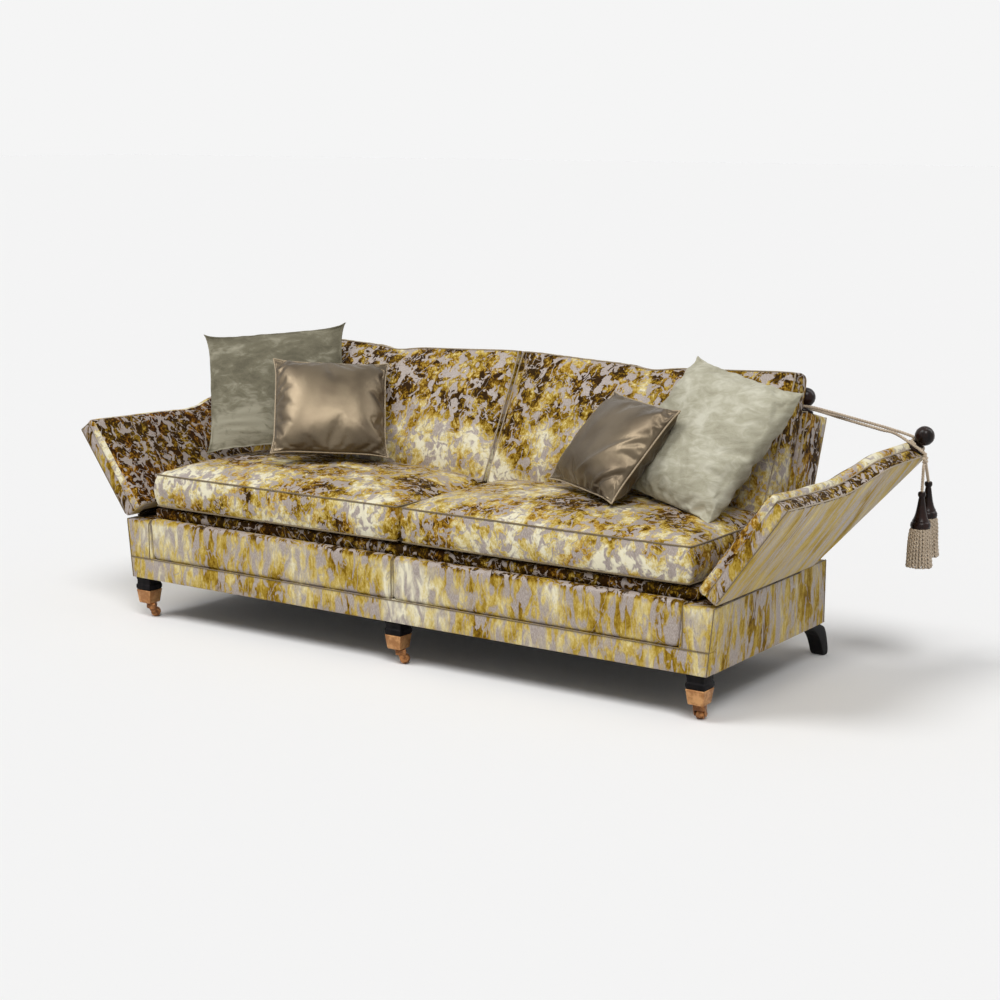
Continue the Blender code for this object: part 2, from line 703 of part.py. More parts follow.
def arm_board_outline(clearance, foot):
    """The board inside the arm, following the arm's edges at an inset."""
    inset = ARM_BOARD_INSET - clearance
    rear_slope = (ARM_HEAD_LENGTH - ARM_FOOT_LENGTH) / (ARM_REAR_HEIGHT - ARM_FOOT)
    low_top = ARM_FRONT_HEIGHT - ARM_DIP - inset
    high_top = ARM_REAR_HEIGHT - inset

    def rear(height):
        return ARM_FOOT_LENGTH + (height - ARM_FOOT) * rear_slope - inset * 1.2

    return [(inset, foot), (rear(foot), foot), (rear(high_top), high_top),
            (ARM_RISE_END + inset, high_top), (ARM_RISE_START + inset, low_top), (inset, low_top)]


def arm_frame_to_sofa(place):
    """A point in the right arm's frame, in the sofa's frame at rest."""
    turn = Euler((0.0, ARM_DROP, 0.0)).to_matrix()
    return Vector((HINGE_X, 0.0, HINGE_Z)) + turn @ Vector(place)


def make_arm(frame):
    inner = BARREL_RADIUS - ARM_THICKNESS
    pad = extruded("right_arm_upholstery", arm_outline(), inner, BARREL_RADIUS, frame, brocade)
    bevel(pad, ARM_ROUNDING, 2)
    middle = (inner + BARREL_RADIUS) / 2
    half = ARM_BOARD_THICKNESS / 2
    slot = extruded("arm_slot", arm_board_outline(GAP, ARM_FOOT - OVERRUN),
                    middle - half - GAP, middle + half + GAP, frame, collection=cutters)
    cut(pad, slot)
    board = extruded("right_arm_board", arm_board_outline(0.0, ARM_FOOT), middle - half, middle + half,
                     frame, beech)
    knob = turned("right_arm_finial", finial_profile(), frame, dark_wood)
    knob.location = (middle, FINIAL_Y, ARM_REAR_HEIGHT + GAP)
    return pad, board, knob


# Strip hinges
def barrel(name, radius, start, end, parent, collection=cutters, segments=SMALL_SEGMENTS):
    """A cylinder along Y, from start to end, on the hinge axis."""
    work = bmesh.new()
    bmesh.ops.create_cone(work, cap_ends=True, segments=segments, radius1=radius, radius2=radius,
                          depth=end - start)
    made = new_object(name, mesh_from(work, name), parent, None, collection)
    made.data.transform(Matrix.Rotation(math.pi / 2, 4, "X"))
    made.location = (0.0, (start + end) / 2, 0.0)
    return made


def make_hinge(base_frame, arm_frame):
    """Two leaves along the arm's foot: the base leaf holds the pin, the arm leaf turns on it."""
    pitch = HINGE_LENGTH / KNUCKLES
    end = HINGE_FRONT + HINGE_LENGTH
    base_leaf = box("right_hinge_base_leaf", (-LEAF_WIDTH, HINGE_FRONT, -BARREL_RADIUS),
                    (-PIN_RADIUS, end, LEAF_THICKNESS - BARREL_RADIUS), base_frame, steel)
    arm_leaf = box("right_hinge_arm_leaf", (-LEAF_WIDTH, HINGE_FRONT, BARREL_RADIUS - LEAF_THICKNESS),
                   (-PIN_RADIUS, end, BARREL_RADIUS), arm_frame, steel)
    bore = barrel("right_hinge_bore", PIN_RADIUS + KNUCKLE_CLEARANCE, HINGE_FRONT - OVERRUN, end + OVERRUN,
                  arm_frame)
    for i in range(KNUCKLES):
        start = HINGE_FRONT + pitch * i
        stop = start + pitch
        fixed = i % 2 == 0
        ours, theirs = (base_leaf, arm_leaf) if fixed else (arm_leaf, base_leaf)
        knuckle = barrel("knuckle_%d" % i, BARREL_RADIUS, start + GAP, stop - GAP, ours.parent)
        cut(ours, knuckle, "UNION")
        room = box("knuckle_room_%d" % i, (-BARREL_RADIUS - KNUCKLE_CLEARANCE * 2, start - GAP, -BARREL_RADIUS * 2),
                   (BARREL_RADIUS * 2, stop + GAP, BARREL_RADIUS * 2), theirs.parent, None, cutters)
        cut(theirs, room)
    pin = barrel("right_hinge_pin", PIN_RADIUS, HINGE_FRONT + GAP, end - GAP, base_frame)
    cut(base_leaf, pin, "UNION")
    cut(arm_leaf, bore)
    base = baked(base_leaf)
    arm = baked(arm_leaf)
    paint(base, steel)
    paint(arm, steel)
    return base, arm


# Tie cord, knot and tassels
def neck_points():
    """The middle of the cord's loop round each finial's neck, in the sofa's frame."""
    back_foot, back_up = back_finial_place(1)
    back_neck = back_foot + back_up * (FINIAL_FLANGE_THICKNESS * 1.5 + CORD_RADIUS)
    middle = BARREL_RADIUS - ARM_THICKNESS / 2
    arm_neck = arm_frame_to_sofa((middle, FINIAL_Y,
                                  ARM_REAR_HEIGHT + FINIAL_FLANGE_THICKNESS * 1.5 + CORD_RADIUS))
    return back_neck, arm_neck


def smooth_route(points, count):
    """Evenly spaced points on a smooth curve through the given ones."""
    padded = [points[0]] + list(points) + [points[-1]]
    fine = []
    for i in range(len(points) - 1):
        a, b, c, d = padded[i:i + 4]
        for k in range(16):
            t = k / 16
            fine.append(0.5 * ((2 * b) + (c - a) * t + (2 * a - 5 * b + 4 * c - d) * t * t
                               + (3 * b - a - 3 * c + d) * t ** 3))
    fine.append(points[-1].copy())
    lengths = [0.0]
    for first, second in zip(fine, fine[1:]):
        lengths.append(lengths[-1] + (second - first).length)
    route = []
    for i in range(count + 1):
        wanted = lengths[-1] * i / count
        k = max(j for j in range(len(lengths)) if lengths[j] <= wanted + MERGE)
        k = min(k, len(fine) - 2)
        share = (wanted - lengths[k]) / max(lengths[k + 1] - lengths[k], MERGE)
        route.append(fine[k].lerp(fine[k + 1], min(share, 1.0)))
    return route


def tie_cord_points():
    """A doubled cord: from the arm's neck, over its flange, round the back finial's neck, and home."""
    back_neck, arm_neck = neck_points()
    reach = back_neck - arm_neck
    arm_up = arm_frame_to_sofa((0.0, 0.0, 1.0)) - arm_frame_to_sofa((0.0, 0.0, 0.0))
    level = (reach - arm_up * reach.dot(arm_up)).normalized()
    _, back_up = back_finial_place(1)
    sideways = reach.cross(back_up).normalized()
    forward = back_up.cross(sideways).normalized()
    loop = FINIAL_NECK_RADIUS * NECK_FLARE_SHARE + CORD_RADIUS + GAP
    apart = CORD_RADIUS * CORD_SPREAD_SHARE
    start = arm_neck + level * (loop + CORD_RADIUS * 2 + GAP) + arm_up * CORD_RADIUS
    finish = back_neck - forward * (FINIAL_FLANGE_RADIUS + CORD_RADIUS) + back_up * GAP
    strand = [start - sideways * apart]
    for share in (0.35, 0.7, 1.0):
        spread = apart + (loop * 0.9 - apart) * share ** 2
        strand.append(start.lerp(finish, share) - sideways * spread)
    turn = [back_neck + (-sideways * math.cos(a) + forward * math.sin(a)) * loop
            for a in (i * math.pi / 8 for i in range(9))]
    home = [place + sideways * 2 * (start - place).dot(sideways) for place in reversed(strand)]
    one_way = smooth_route(strand + [turn[0]], CORD_POINTS)
    back_way = smooth_route([turn[-1]] + home, CORD_POINTS)
    return one_way + turn[1:-1] + back_way


def knot_place():
    """Centre of the knot, hung over the arm's outer edge, in the arm's frame."""
    return Vector((BARREL_RADIUS + KNOT_STAND_OFF, KNOT_Y, ARM_REAR_HEIGHT))


def make_knot(frame):
    """A ring of cord round the neck, with its tail over the flange to a round knot."""
    middle = Vector((BARREL_RADIUS - ARM_THICKNESS / 2, FINIAL_Y,
                     ARM_REAR_HEIGHT + FINIAL_FLANGE_THICKNESS * 1.5 + CORD_RADIUS))
    ring_radius = FINIAL_NECK_RADIUS * NECK_FLARE_SHARE + CORD_RADIUS + GAP
    count = ROUND_SEGMENTS
    ring = [middle + Vector((math.cos(a), math.sin(a), 0.0)) * ring_radius
            for a in (i * 2 * math.pi / count for i in range(count))]
    made = baked(tube("right_knot", ring, CORD_RADIUS, frame, rope, cyclic=True))
    end = knot_place()
    outward = Vector((end.x - middle.x, end.y - middle.y, 0.0)).normalized()
    over = middle + outward * (FINIAL_FLANGE_RADIUS + CORD_RADIUS) - Vector((0.0, 0.0, CORD_RADIUS * 0.3))
    tail_points = smooth_route([middle + outward * (ring_radius - CORD_RADIUS / 4), over, end], 6)
    tail = baked(tube("knot_tail", tail_points, CORD_RADIUS, frame, collection=cutters))
    cut(made, tail, "UNION")
    work = bmesh.new()
    bmesh.ops.create_icosphere(work, subdivisions=2, radius=KNOT_RADIUS)
    lump = new_object("knot_lump", mesh_from(work, "knot_lump"), frame, None, cutters)
    lump.location = end
    cut(made, lump, "UNION")
    made = baked(made)
    paint(made, rope)
    return made


def head_profile():
    """A turned tassel head with a ball on top and a bell below, bored through."""
    head_shares = ((0.26, 1.00), (0.37, 0.95), (0.37, 0.89), (0.27, 0.84), (0.33, 0.74), (0.52, 0.45),
                   (0.76, 0.24), (0.98, 0.13), (1.00, 0.06), (0.92, 0.00))
    outer = [(radius * HEAD_RADIUS, height * HEAD_LENGTH) for radius, height in head_shares]
    return outer + [(HEAD_BORE, 0.0), (HEAD_BORE, HEAD_LENGTH)]


def make_tassel(name, pivot, drop, strand):
    """A head threaded on a strand that ends in a full skirt. The pivot is at the knot."""
    head = turned(name + "_head", head_profile(), pivot, dark_wood, closed=True)
    foot = drop - Vector((0.0, 0.0, HEAD_LENGTH))
    head.location = foot
    skirt_shares = ((SKIRT_TOP_RADIUS * 0.85, 0.0), (SKIRT_TOP_RADIUS, 0.06), (SKIRT_TOP_RADIUS, 0.25),
                    (SKIRT_RADIUS * 0.9, 0.6), (SKIRT_RADIUS, 1.0))
    stem_top = HEAD_LENGTH + CORD_RADIUS * 2
    profile = [(0.0, stem_top), (CORD_RADIUS, stem_top), (CORD_RADIUS, -GAP)]
    profile += [(radius, -share * SKIRT_LENGTH - GAP) for radius, share in skirt_shares]
    profile.append((0.0, -SKIRT_LENGTH - GAP))
    skirt = turned(name + "_skirt", profile, pivot, rope)
    skirt.location = foot
    skirt = baked(skirt)
    neck = foot + Vector((0.0, 0.0, stem_top - CORD_RADIUS / 2))
    way = smooth_route([strand, strand * 2, (strand * 2).lerp(neck, 0.5), neck], 7)
    cord = baked(tube(name + "_cord", way, CORD_RADIUS, pivot, collection=cutters))
    cut(skirt, cord, "UNION")
    skirt = baked(skirt)
    paint(skirt, rope)
    return head, skirt


def make_arms():
    right = empty("right_arm_hinge", (HINGE_X, 0.0, HINGE_Z), root, (0.0, ARM_DROP, 0.0))
    left = empty("left_arm_hinge", (-HINGE_X, 0.0, HINGE_Z), root, (0.0, -ARM_DROP, 0.0))
    right_seat = empty("right_hinge_seat", (HINGE_X, 0.0, HINGE_Z), root)
    left_seat = empty("left_hinge_seat", (-HINGE_X, 0.0, HINGE_Z), root)
    for piece in make_arm(right):
        mirrored(piece, piece.name.replace("right", "left"), left)
    base_leaf, arm_leaf = make_hinge(right_seat, right)
    mirrored(base_leaf, "left_hinge_base_leaf", left_seat)
    mirrored(arm_leaf, "left_hinge_arm_leaf", left)
    knot = make_knot(right)
    mirrored(knot, "left_knot", left)

    cord = tube("right_tie_cord", tie_cord_points(), CORD_RADIUS, root, rope)
    mirrored(cord, "left_tie_cord", root)

    hang = arm_frame_to_sofa(knot_place())
    right_pivot = empty("right_tassel_pivot", hang, root)
    left_pivot = empty("left_tassel_pivot", (-hang.x, hang.y, hang.z), root)
    for word, splay, skew, back, lift in (
            ("front", -STRAND_SPLAY_SHARE, TASSEL_SKEW, 0.0, 0.0),
            ("rear", STRAND_SPLAY_SHARE, REAR_TASSEL_SKEW, TASSEL_SPACING, REAR_TASSEL_LIFT)):
        start = Vector((0.0, splay, -1.0)).normalized() * (KNOT_RADIUS + GAP)
        drop = Vector((-skew, back, lift - STRAND_LENGTH - KNOT_RADIUS * 2))
        for piece in make_tassel("right_" + word + "_tassel", right_pivot, drop, start):
            mirrored(piece, piece.name.replace("right", "left"), left_pivot)
    return hang


# Feet and castors
def square_profile(name, levels, parent, colour, collection=None):
    """A square post lofted through (size, height) levels, from the bottom up."""
    work = bmesh.new()
    bmesh.ops.create_cube(work, size=1.0)
    bottom = levels[0]
    for corner in work.verts:
        level = levels[1] if corner.co.z > 0 else bottom
        corner.co = (corner.co.x * level[0], corner.co.y * level[0], level[1])
    for size, height in levels[2:]:
        top = max(work.faces, key=lambda face: face.calc_center_median().z)
        grown = bmesh.ops.extrude_face_region(work, geom=[top])
        bmesh.ops.delete(work, geom=[top], context="FACES_ONLY")
        for corner in (item for item in grown["geom"] if isinstance(item, bmesh.types.BMVert)):
            corner.co = (math.copysign(size / 2, corner.co.x), math.copysign(size / 2, corner.co.y), height)
    bmesh.ops.recalc_face_normals(work, faces=work.faces)
    return new_object(name, mesh_from(work, name), parent, colour, collection)


def make_front_foot(word, place):
    """An ebonised collar with its tenon, and the tapered metal cup around the tenon."""
    cup_top = BASE_BOTTOM - GAP - COLLAR_HEIGHT
    cup_height = cup_top - CASTOR_HEIGHT
    at_top = FOOT_SIZE
    tenon_top = CUP_TOP_SIZE - 2 * CUP_WALL - 2 * GAP
    tenon_bottom = CUP_BOTTOM_SIZE - 2 * CUP_WALL - 2 * GAP
    floor = CASTOR_HEIGHT + CUP_WALL + STEM_LENGTH
    share = (floor - CASTOR_HEIGHT) / cup_height
    tenon_foot = tenon_bottom + (tenon_top - tenon_bottom) * share
    levels = [(tenon_foot, floor), (tenon_top, cup_top + GAP), (at_top - 2 * COLLAR_STEP, cup_top + GAP),
              (at_top, cup_top + COLLAR_HEIGHT * 0.18), (at_top, cup_top + COLLAR_HEIGHT * 0.38),
              (at_top - 2 * COLLAR_STEP, cup_top + COLLAR_HEIGHT * 0.48),
              (at_top - COLLAR_STEP, cup_top + COLLAR_HEIGHT)]
    collar = square_profile(word + "_front_foot", levels, root, ebonised)
    collar.location = (place.x, place.y, 0.0)

    cup = square_profile(word + "_foot_cup", [(CUP_BOTTOM_SIZE, CASTOR_HEIGHT), (CUP_TOP_SIZE, cup_top)],
                         root, copper)
    cup.location = (place.x, place.y, 0.0)
    slope = (CUP_TOP_SIZE - CUP_BOTTOM_SIZE) / cup_height
    inner_low = CUP_BOTTOM_SIZE - 2 * CUP_WALL + CUP_WALL * slope
    inner_high = CUP_TOP_SIZE - 2 * CUP_WALL + OVERRUN * slope
    hollow = square_profile(word + "_cup_hollow",
                            [(inner_low, CASTOR_HEIGHT + CUP_WALL), (inner_high, cup_top + OVERRUN)],
                            root, None, cutters)
    hollow.location = cup.location
    cut(cup, hollow)
    work = bmesh.new()
    hole = STEM_RADIUS + STEM_CLEARANCE
    bmesh.ops.create_cone(work, cap_ends=True, segments=ROUND_SEGMENTS, radius1=hole, radius2=hole,
                          depth=2 * OVERRUN)
    socket = new_object(word + "_cup_socket", mesh_from(work, word + "_cup_socket"), root, None, cutters)
    socket.location = (place.x, place.y, CASTOR_HEIGHT)
    cut(cup, socket)


def cheek_outline():
    """One side of the fork: a round head under the plate, drawn to a round eye at the axle."""
    axle = Vector((CASTOR_TRAIL, WHEEL_RADIUS * math.cos(math.pi / ROUND_SEGMENTS)))
    head = Vector((0.0, CASTOR_HEIGHT - PLATE_THICKNESS / 2))
    eye = [axle + Vector((math.cos(a), math.sin(a))) * CHEEK_FOOT_RADIUS
           for a in (math.radians(-150 + 30 * i) for i in range(7))]
    shoulders = [head + Vector((CHEEK_HEAD_RADIUS, 0.0)), head - Vector((CHEEK_HEAD_RADIUS, 0.0)),
                 head - Vector((CHEEK_HEAD_RADIUS, CHEEK_HEAD_RADIUS * 0.5))]
    return [tuple(point) for point in eye + shoulders]


def make_castor(word, place, turn):
    """A fork on a stem, and its wheel. Both frames turn about the stem, and trail along +Y."""
    swivel = empty(word + "_castor_swivel", (place.x, place.y, 0.0), root, (0.0, 0.0, turn - math.pi / 2))
    horn = turned(word + "_castor_horn",
                  [(0.0, CASTOR_HEIGHT + CUP_WALL + STEM_LENGTH - 2 * GAP),
                   (STEM_RADIUS, CASTOR_HEIGHT + CUP_WALL + STEM_LENGTH - 2 * GAP),
                   (STEM_RADIUS, CASTOR_HEIGHT - GAP), (PLATE_RADIUS, CASTOR_HEIGHT - GAP),
                   (PLATE_RADIUS, CASTOR_HEIGHT - GAP - PLATE_THICKNESS * 0.6),
                   (PLATE_RADIUS * 0.85, CASTOR_HEIGHT - GAP - PLATE_THICKNESS),
                   (0.0, CASTOR_HEIGHT - GAP - PLATE_THICKNESS)],
                  swivel, old_brass)
    inner = WHEEL_WIDTH / 2 + CHEEK_CLEARANCE
    outer = inner + CHEEK_THICKNESS
    for number, (low, high) in enumerate(((-outer, -inner), (inner, outer))):
        cheek = extruded("%s_cheek_%d" % (word, number), cheek_outline(), low, high, swivel, collection=cutters)
        cut(horn, cheek, "UNION")
    axle_height = WHEEL_RADIUS * math.cos(math.pi / ROUND_SEGMENTS)
    axle = barrel(word + "_axle", AXLE_RADIUS, -outer + GAP, outer - GAP, swivel)
    axle.data.transform(Matrix.Rotation(math.pi / 2, 4, "Z"))
    axle.location = (0.0, CASTOR_TRAIL, axle_height)
    cut(horn, axle, "UNION")
    horn = baked(horn)
    paint(horn, old_brass)

    half = WHEEL_WIDTH / 2
    bore = AXLE_RADIUS + AXLE_CLEARANCE
    rim = WHEEL_RADIUS - WHEEL_ROUNDING
    wheel = turned(word + "_castor_wheel",
                   [(bore, half), (rim, half), (WHEEL_RADIUS, half - WHEEL_ROUNDING),
                    (WHEEL_RADIUS, WHEEL_ROUNDING - half), (rim, -half), (bore, -half)],
                   swivel, old_brass, closed=True)
    wheel.location = (0.0, CASTOR_TRAIL, axle_height)
    upright = Matrix.Rotation(math.pi / 2, 3, "Y") @ Matrix.Rotation(math.pi / ROUND_SEGMENTS, 3, "Z")
    wheel.rotation_euler = upright.to_euler()


def rear_foot_outline():
    """Side view of a swept foot, from under the rear rail back to its toe."""
    steps = 6
    front, back = [], []
    top = BASE_BOTTOM - GAP
    for i in range(steps + 1):
        share = i / steps
        height = top * (1 - share)
        sweep = REAR_FOOT_SWEEP * share ** 1.7
        size = REAR_FOOT_TOP + (REAR_FOOT_TOE - REAR_FOOT_TOP) * math.sin(share * math.pi / 2)
        front.append((REAR_FOOT_START + sweep + (REAR_FOOT_TOP - size) / 2, height))
        back.append((REAR_FOOT_START + sweep + (REAR_FOOT_TOP + size) / 2, height))
    return front + back[::-1]


def make_feet():
    across = BASE_FOOT_HALF - FOOT_SIDE_INSET - FOOT_SIZE / 2
    for word, x, turn in zip(("left", "centre", "right"), (-across, 0.0, across), CASTOR_TURNS):
        place = Vector((x, FOOT_SETBACK + FOOT_SIZE / 2, 0.0))
        make_front_foot(word, place)
        make_castor(word, place, turn)
    rear_x = BASE_FOOT_HALF - REAR_FOOT_SIDE_INSET - REAR_FOOT_WIDTH / 2
    for word, x in (("left", -rear_x), ("centre", 0.0), ("right", rear_x)):
        half = REAR_FOOT_WIDTH / 2
        foot = extruded(word + "_rear_foot", rear_foot_outline(), x - half, x + half, root, ebonised)
        bevel(foot, REAR_FOOT_EDGE, 1, math.radians(60.0))


make_base()
make_back()
make_back_finials()
make_feet()
knot_hang = make_arms()
make_cushions()
bpy.context.view_layer.update()

shift = Vector((0.0, -OVERALL_DEPTH / 2, 0.0))
print("hinge axis", HINGE_X, HINGE_Z)
print("tassel pivot", tuple(round(value, 6) for value in knot_hang + shift))
for word in ("left", "centre", "right"):
    frame = bpy.data.objects[word + "_castor_swivel"]
    wheel_centre = bpy.data.objects[word + "_castor_wheel"].matrix_world.translation
    print(word, "swivel", tuple(round(value, 6) for value in frame.matrix_world.translation),
          "wheel", tuple(round(value, 6) for value in wheel_centre))
for word in ("left_velvet", "right_velvet", "left_satin", "right_satin"):
    print(word, tuple(round(value, 4) for value in bpy.data.objects[word + "_cushion"].location))
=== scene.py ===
# %% [markdown]
# # A drop-arm sofa in brocade
# The solid model of the sofa is loaded first as a fixed frame. Everything below is dressed on it:
# the cushions, the covers, the piping, the cords and the feet are modelled again with more detail,
# and each new piece rides on the body that carries it, so it still moves with the arms and castors.

# %% Load the frame
import math

import bpy
import numpy as np
from mathutils import Matrix, Vector


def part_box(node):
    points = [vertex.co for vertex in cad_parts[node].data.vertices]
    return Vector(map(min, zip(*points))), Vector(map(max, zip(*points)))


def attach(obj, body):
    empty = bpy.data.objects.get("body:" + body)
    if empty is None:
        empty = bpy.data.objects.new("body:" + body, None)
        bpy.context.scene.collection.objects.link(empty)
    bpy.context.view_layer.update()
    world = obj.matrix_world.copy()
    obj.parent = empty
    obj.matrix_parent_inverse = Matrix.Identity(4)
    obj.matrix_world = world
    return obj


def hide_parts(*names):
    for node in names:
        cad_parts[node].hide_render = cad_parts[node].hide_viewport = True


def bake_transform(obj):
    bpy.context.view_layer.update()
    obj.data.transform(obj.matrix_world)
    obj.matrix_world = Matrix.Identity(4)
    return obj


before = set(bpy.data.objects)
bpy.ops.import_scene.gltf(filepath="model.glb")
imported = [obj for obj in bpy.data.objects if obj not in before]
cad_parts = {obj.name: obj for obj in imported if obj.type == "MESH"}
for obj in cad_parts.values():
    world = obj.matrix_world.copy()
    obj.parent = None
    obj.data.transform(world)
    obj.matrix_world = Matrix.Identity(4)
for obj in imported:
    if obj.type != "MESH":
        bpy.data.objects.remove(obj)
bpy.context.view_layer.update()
scene = bpy.context.scene
front_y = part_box("front_border")[0].y
print("frame:", len(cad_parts), "solids; front of the base at y", round(front_y, 4))

# %% [markdown]
# ## The camera
# The photograph was taken with a moderate telephoto from the right of the sofa, slightly above it.
# The angles are a turn about Z, a tilt from straight down, and a very small roll.

# %% Camera
camera_yaw, camera_tilt, camera_roll = (math.radians(a) for a in (34.09, 79.27, 0.19))
camera_turn = (Matrix.Rotation(camera_yaw, 3, "Z") @ Matrix.Rotation(camera_tilt, 3, "X")
               @ Matrix.Rotation(camera_roll, 3, "Z"))
camera_target = Vector((0.2232, front_y + 0.2671, 0.5072))
camera_distance = 6.113
bpy.ops.object.camera_add(location=camera_target + camera_turn @ Vector((0, 0, camera_distance)),
                          rotation=camera_turn.to_euler())
camera = bpy.context.object
camera.data.sensor_width = 36
camera.data.lens = 70.87
camera.data.clip_end = 500
scene.camera = camera
scene.view_settings.view_transform = "Standard"
print("camera at", [round(c, 3) for c in camera.location])

# %% [markdown]
# ## Node helpers
# A procedural material is a small graph. These helpers add one node with its settings and its
# inputs in one line, so that each graph below reads from the cloth's pattern to its shader. A
# node's output knows the graph it belongs to: that is its id_data.

# %% Node helpers
def dye(red, green, blue):
    """A colour as it looks on screen (0 to 255), as the linear light that Blender mixes."""
    linear = []
    for level in (red / 255, green / 255, blue / 255):
        linear.append(level / 12.92 if level <= 0.04045 else ((level + 0.055) / 1.055) ** 2.4)
    return (*linear, 1.0)


def plug(socket, value):
    """Links another node's output to an input, or types a plain value into it."""
    if isinstance(value, bpy.types.NodeSocket):
        socket.id_data.links.new(value, socket)
    else:
        socket.default_value = value


def add(tree, kind, sockets=None, **settings):
    """One node with its settings, and its inputs by name or number."""
    made = tree.nodes.new("ShaderNode" + kind)
    for name, value in settings.items():
        setattr(made, name, value)
    for name, value in (sockets or {}).items():
        plug(made.inputs[name], value)
    return made


def maths(operation, first, second=0.0):
    """A sum on two values, of which the first is always a node's output."""
    return add(first.id_data, "Math", {0: first, 1: second}, operation=operation).outputs[0]


def plus(first, second):
    return maths("ADD", first, second)


def times(first, second):
    return maths("MULTIPLY", first, second)


def step_up(value, low, high, to_low=0.0, to_high=1.0):
    """to_low where the value is below low, to_high above high, and smooth between them."""
    return add(value.id_data, "MapRange", {"Value": value, "From Min": low, "From Max": high,
                                           "To Min": to_low, "To Max": to_high},
               interpolation_type="SMOOTHSTEP").outputs[0]


def blend_colours(factor, first, second, how="MIX"):
    """The first colour where the factor is 0, the second where it is 1."""
    return add(factor.id_data, "Mix", {0: factor, 6: first, 7: second}, data_type="RGBA",
               blend_type=how).outputs[2]


def two_dyes(value, low, high, first, second):
    """The first dye where the value is low, the second where it is high."""
    return blend_colours(step_up(value, low, high), dye(*first), dye(*second))


def colour_ramp(value, stops):
    """Colours a value by (place, screen colour) pairs."""
    node = add(value.id_data, "ValToRGB", {"Fac": value})
    elements = node.color_ramp.elements
    while len(elements) < len(stops):
        elements.new(1.0)
    for element, (place, colour) in zip(elements, stops):
        element.position = place
        element.color = dye(*colour)
    return node.outputs[0]


def cloudy(where, scale, detail=2.0, roughness=0.5, distortion=0.0):
    """Soft random patches, scale of them to the metre."""
    return add(where.id_data, "TexNoise",
               {"Vector": where, "Scale": scale, "Detail": detail, "Roughness": roughness,
                "Distortion": distortion}).outputs[0]


def stretched(where, scale=(1, 1, 1), turn=(0, 0, 0), shift=(0, 0, 0)):
    """The pattern's own coordinates, stretched, turned or shifted."""
    return add(where.id_data, "Mapping", {"Vector": where, "Location": shift, "Rotation": turn,
                                          "Scale": scale}).outputs[0]


def raised(height, strength, distance):
    return add(height.id_data, "Bump", {"Height": height, "Strength": strength,
                                        "Distance": distance}).outputs[0]


def new_finish(name):
    """An empty material with its shader and the object's coordinates."""
    finish = bpy.data.materials.new(name)
    finish.use_nodes = True
    tree = finish.node_tree
    return finish, tree.nodes["Principled BSDF"], add(tree, "TexCoord").outputs["Object"]


def dress_shader(shader, **inputs):
    """Types or links the shader's inputs. An underscore stands for a space."""
    for name, value in inputs.items():
        plug(shader.inputs[name.replace("_", " ")], value)


def wear_finish(piece, *finishes):
    """Gives a piece these materials instead of its own."""
    piece.data.materials.clear()
    for finish in finishes:
        piece.data.materials.append(finish)
    return piece

# %% [markdown]
# ## The brocade
# The sofa's cover is a crushed cut velvet: islands of pile on a bare lilac-grey satin ground. The
# pile's colour runs from dark brown through olive and gold to cream and strays at random. No motif
# is copied: layers of noise make a cloth of that kind. A slow noise lays the pile over, a finer one
# ruffles it, a crisp one cuts the islands out and the thin line where a last noise crosses its
# middle value leaves winding bare veins. Each panel wears its own copy, whose tone is painted light
# and shade: tops and recesses are painted dark and fronts pale, for the way the light falls on
# them.

# %% Brocade
pile_colours = ((0.0, (46, 29, 4)), (0.13, (88, 62, 8)), (0.28, (127, 96, 18)),
                (0.44, (163, 134, 46)), (0.58, (193, 167, 88)), (0.70, (213, 196, 136)),
                (0.88, (232, 225, 198)))
dark_ground, light_ground, rust_dye = (148, 136, 128), (181, 168, 160), (252, 168, 110)


def off_middle(noise, amount):
    """How far a noise is from its middle value, times an amount."""
    return times(maths("SUBTRACT", noise, 0.5), amount)


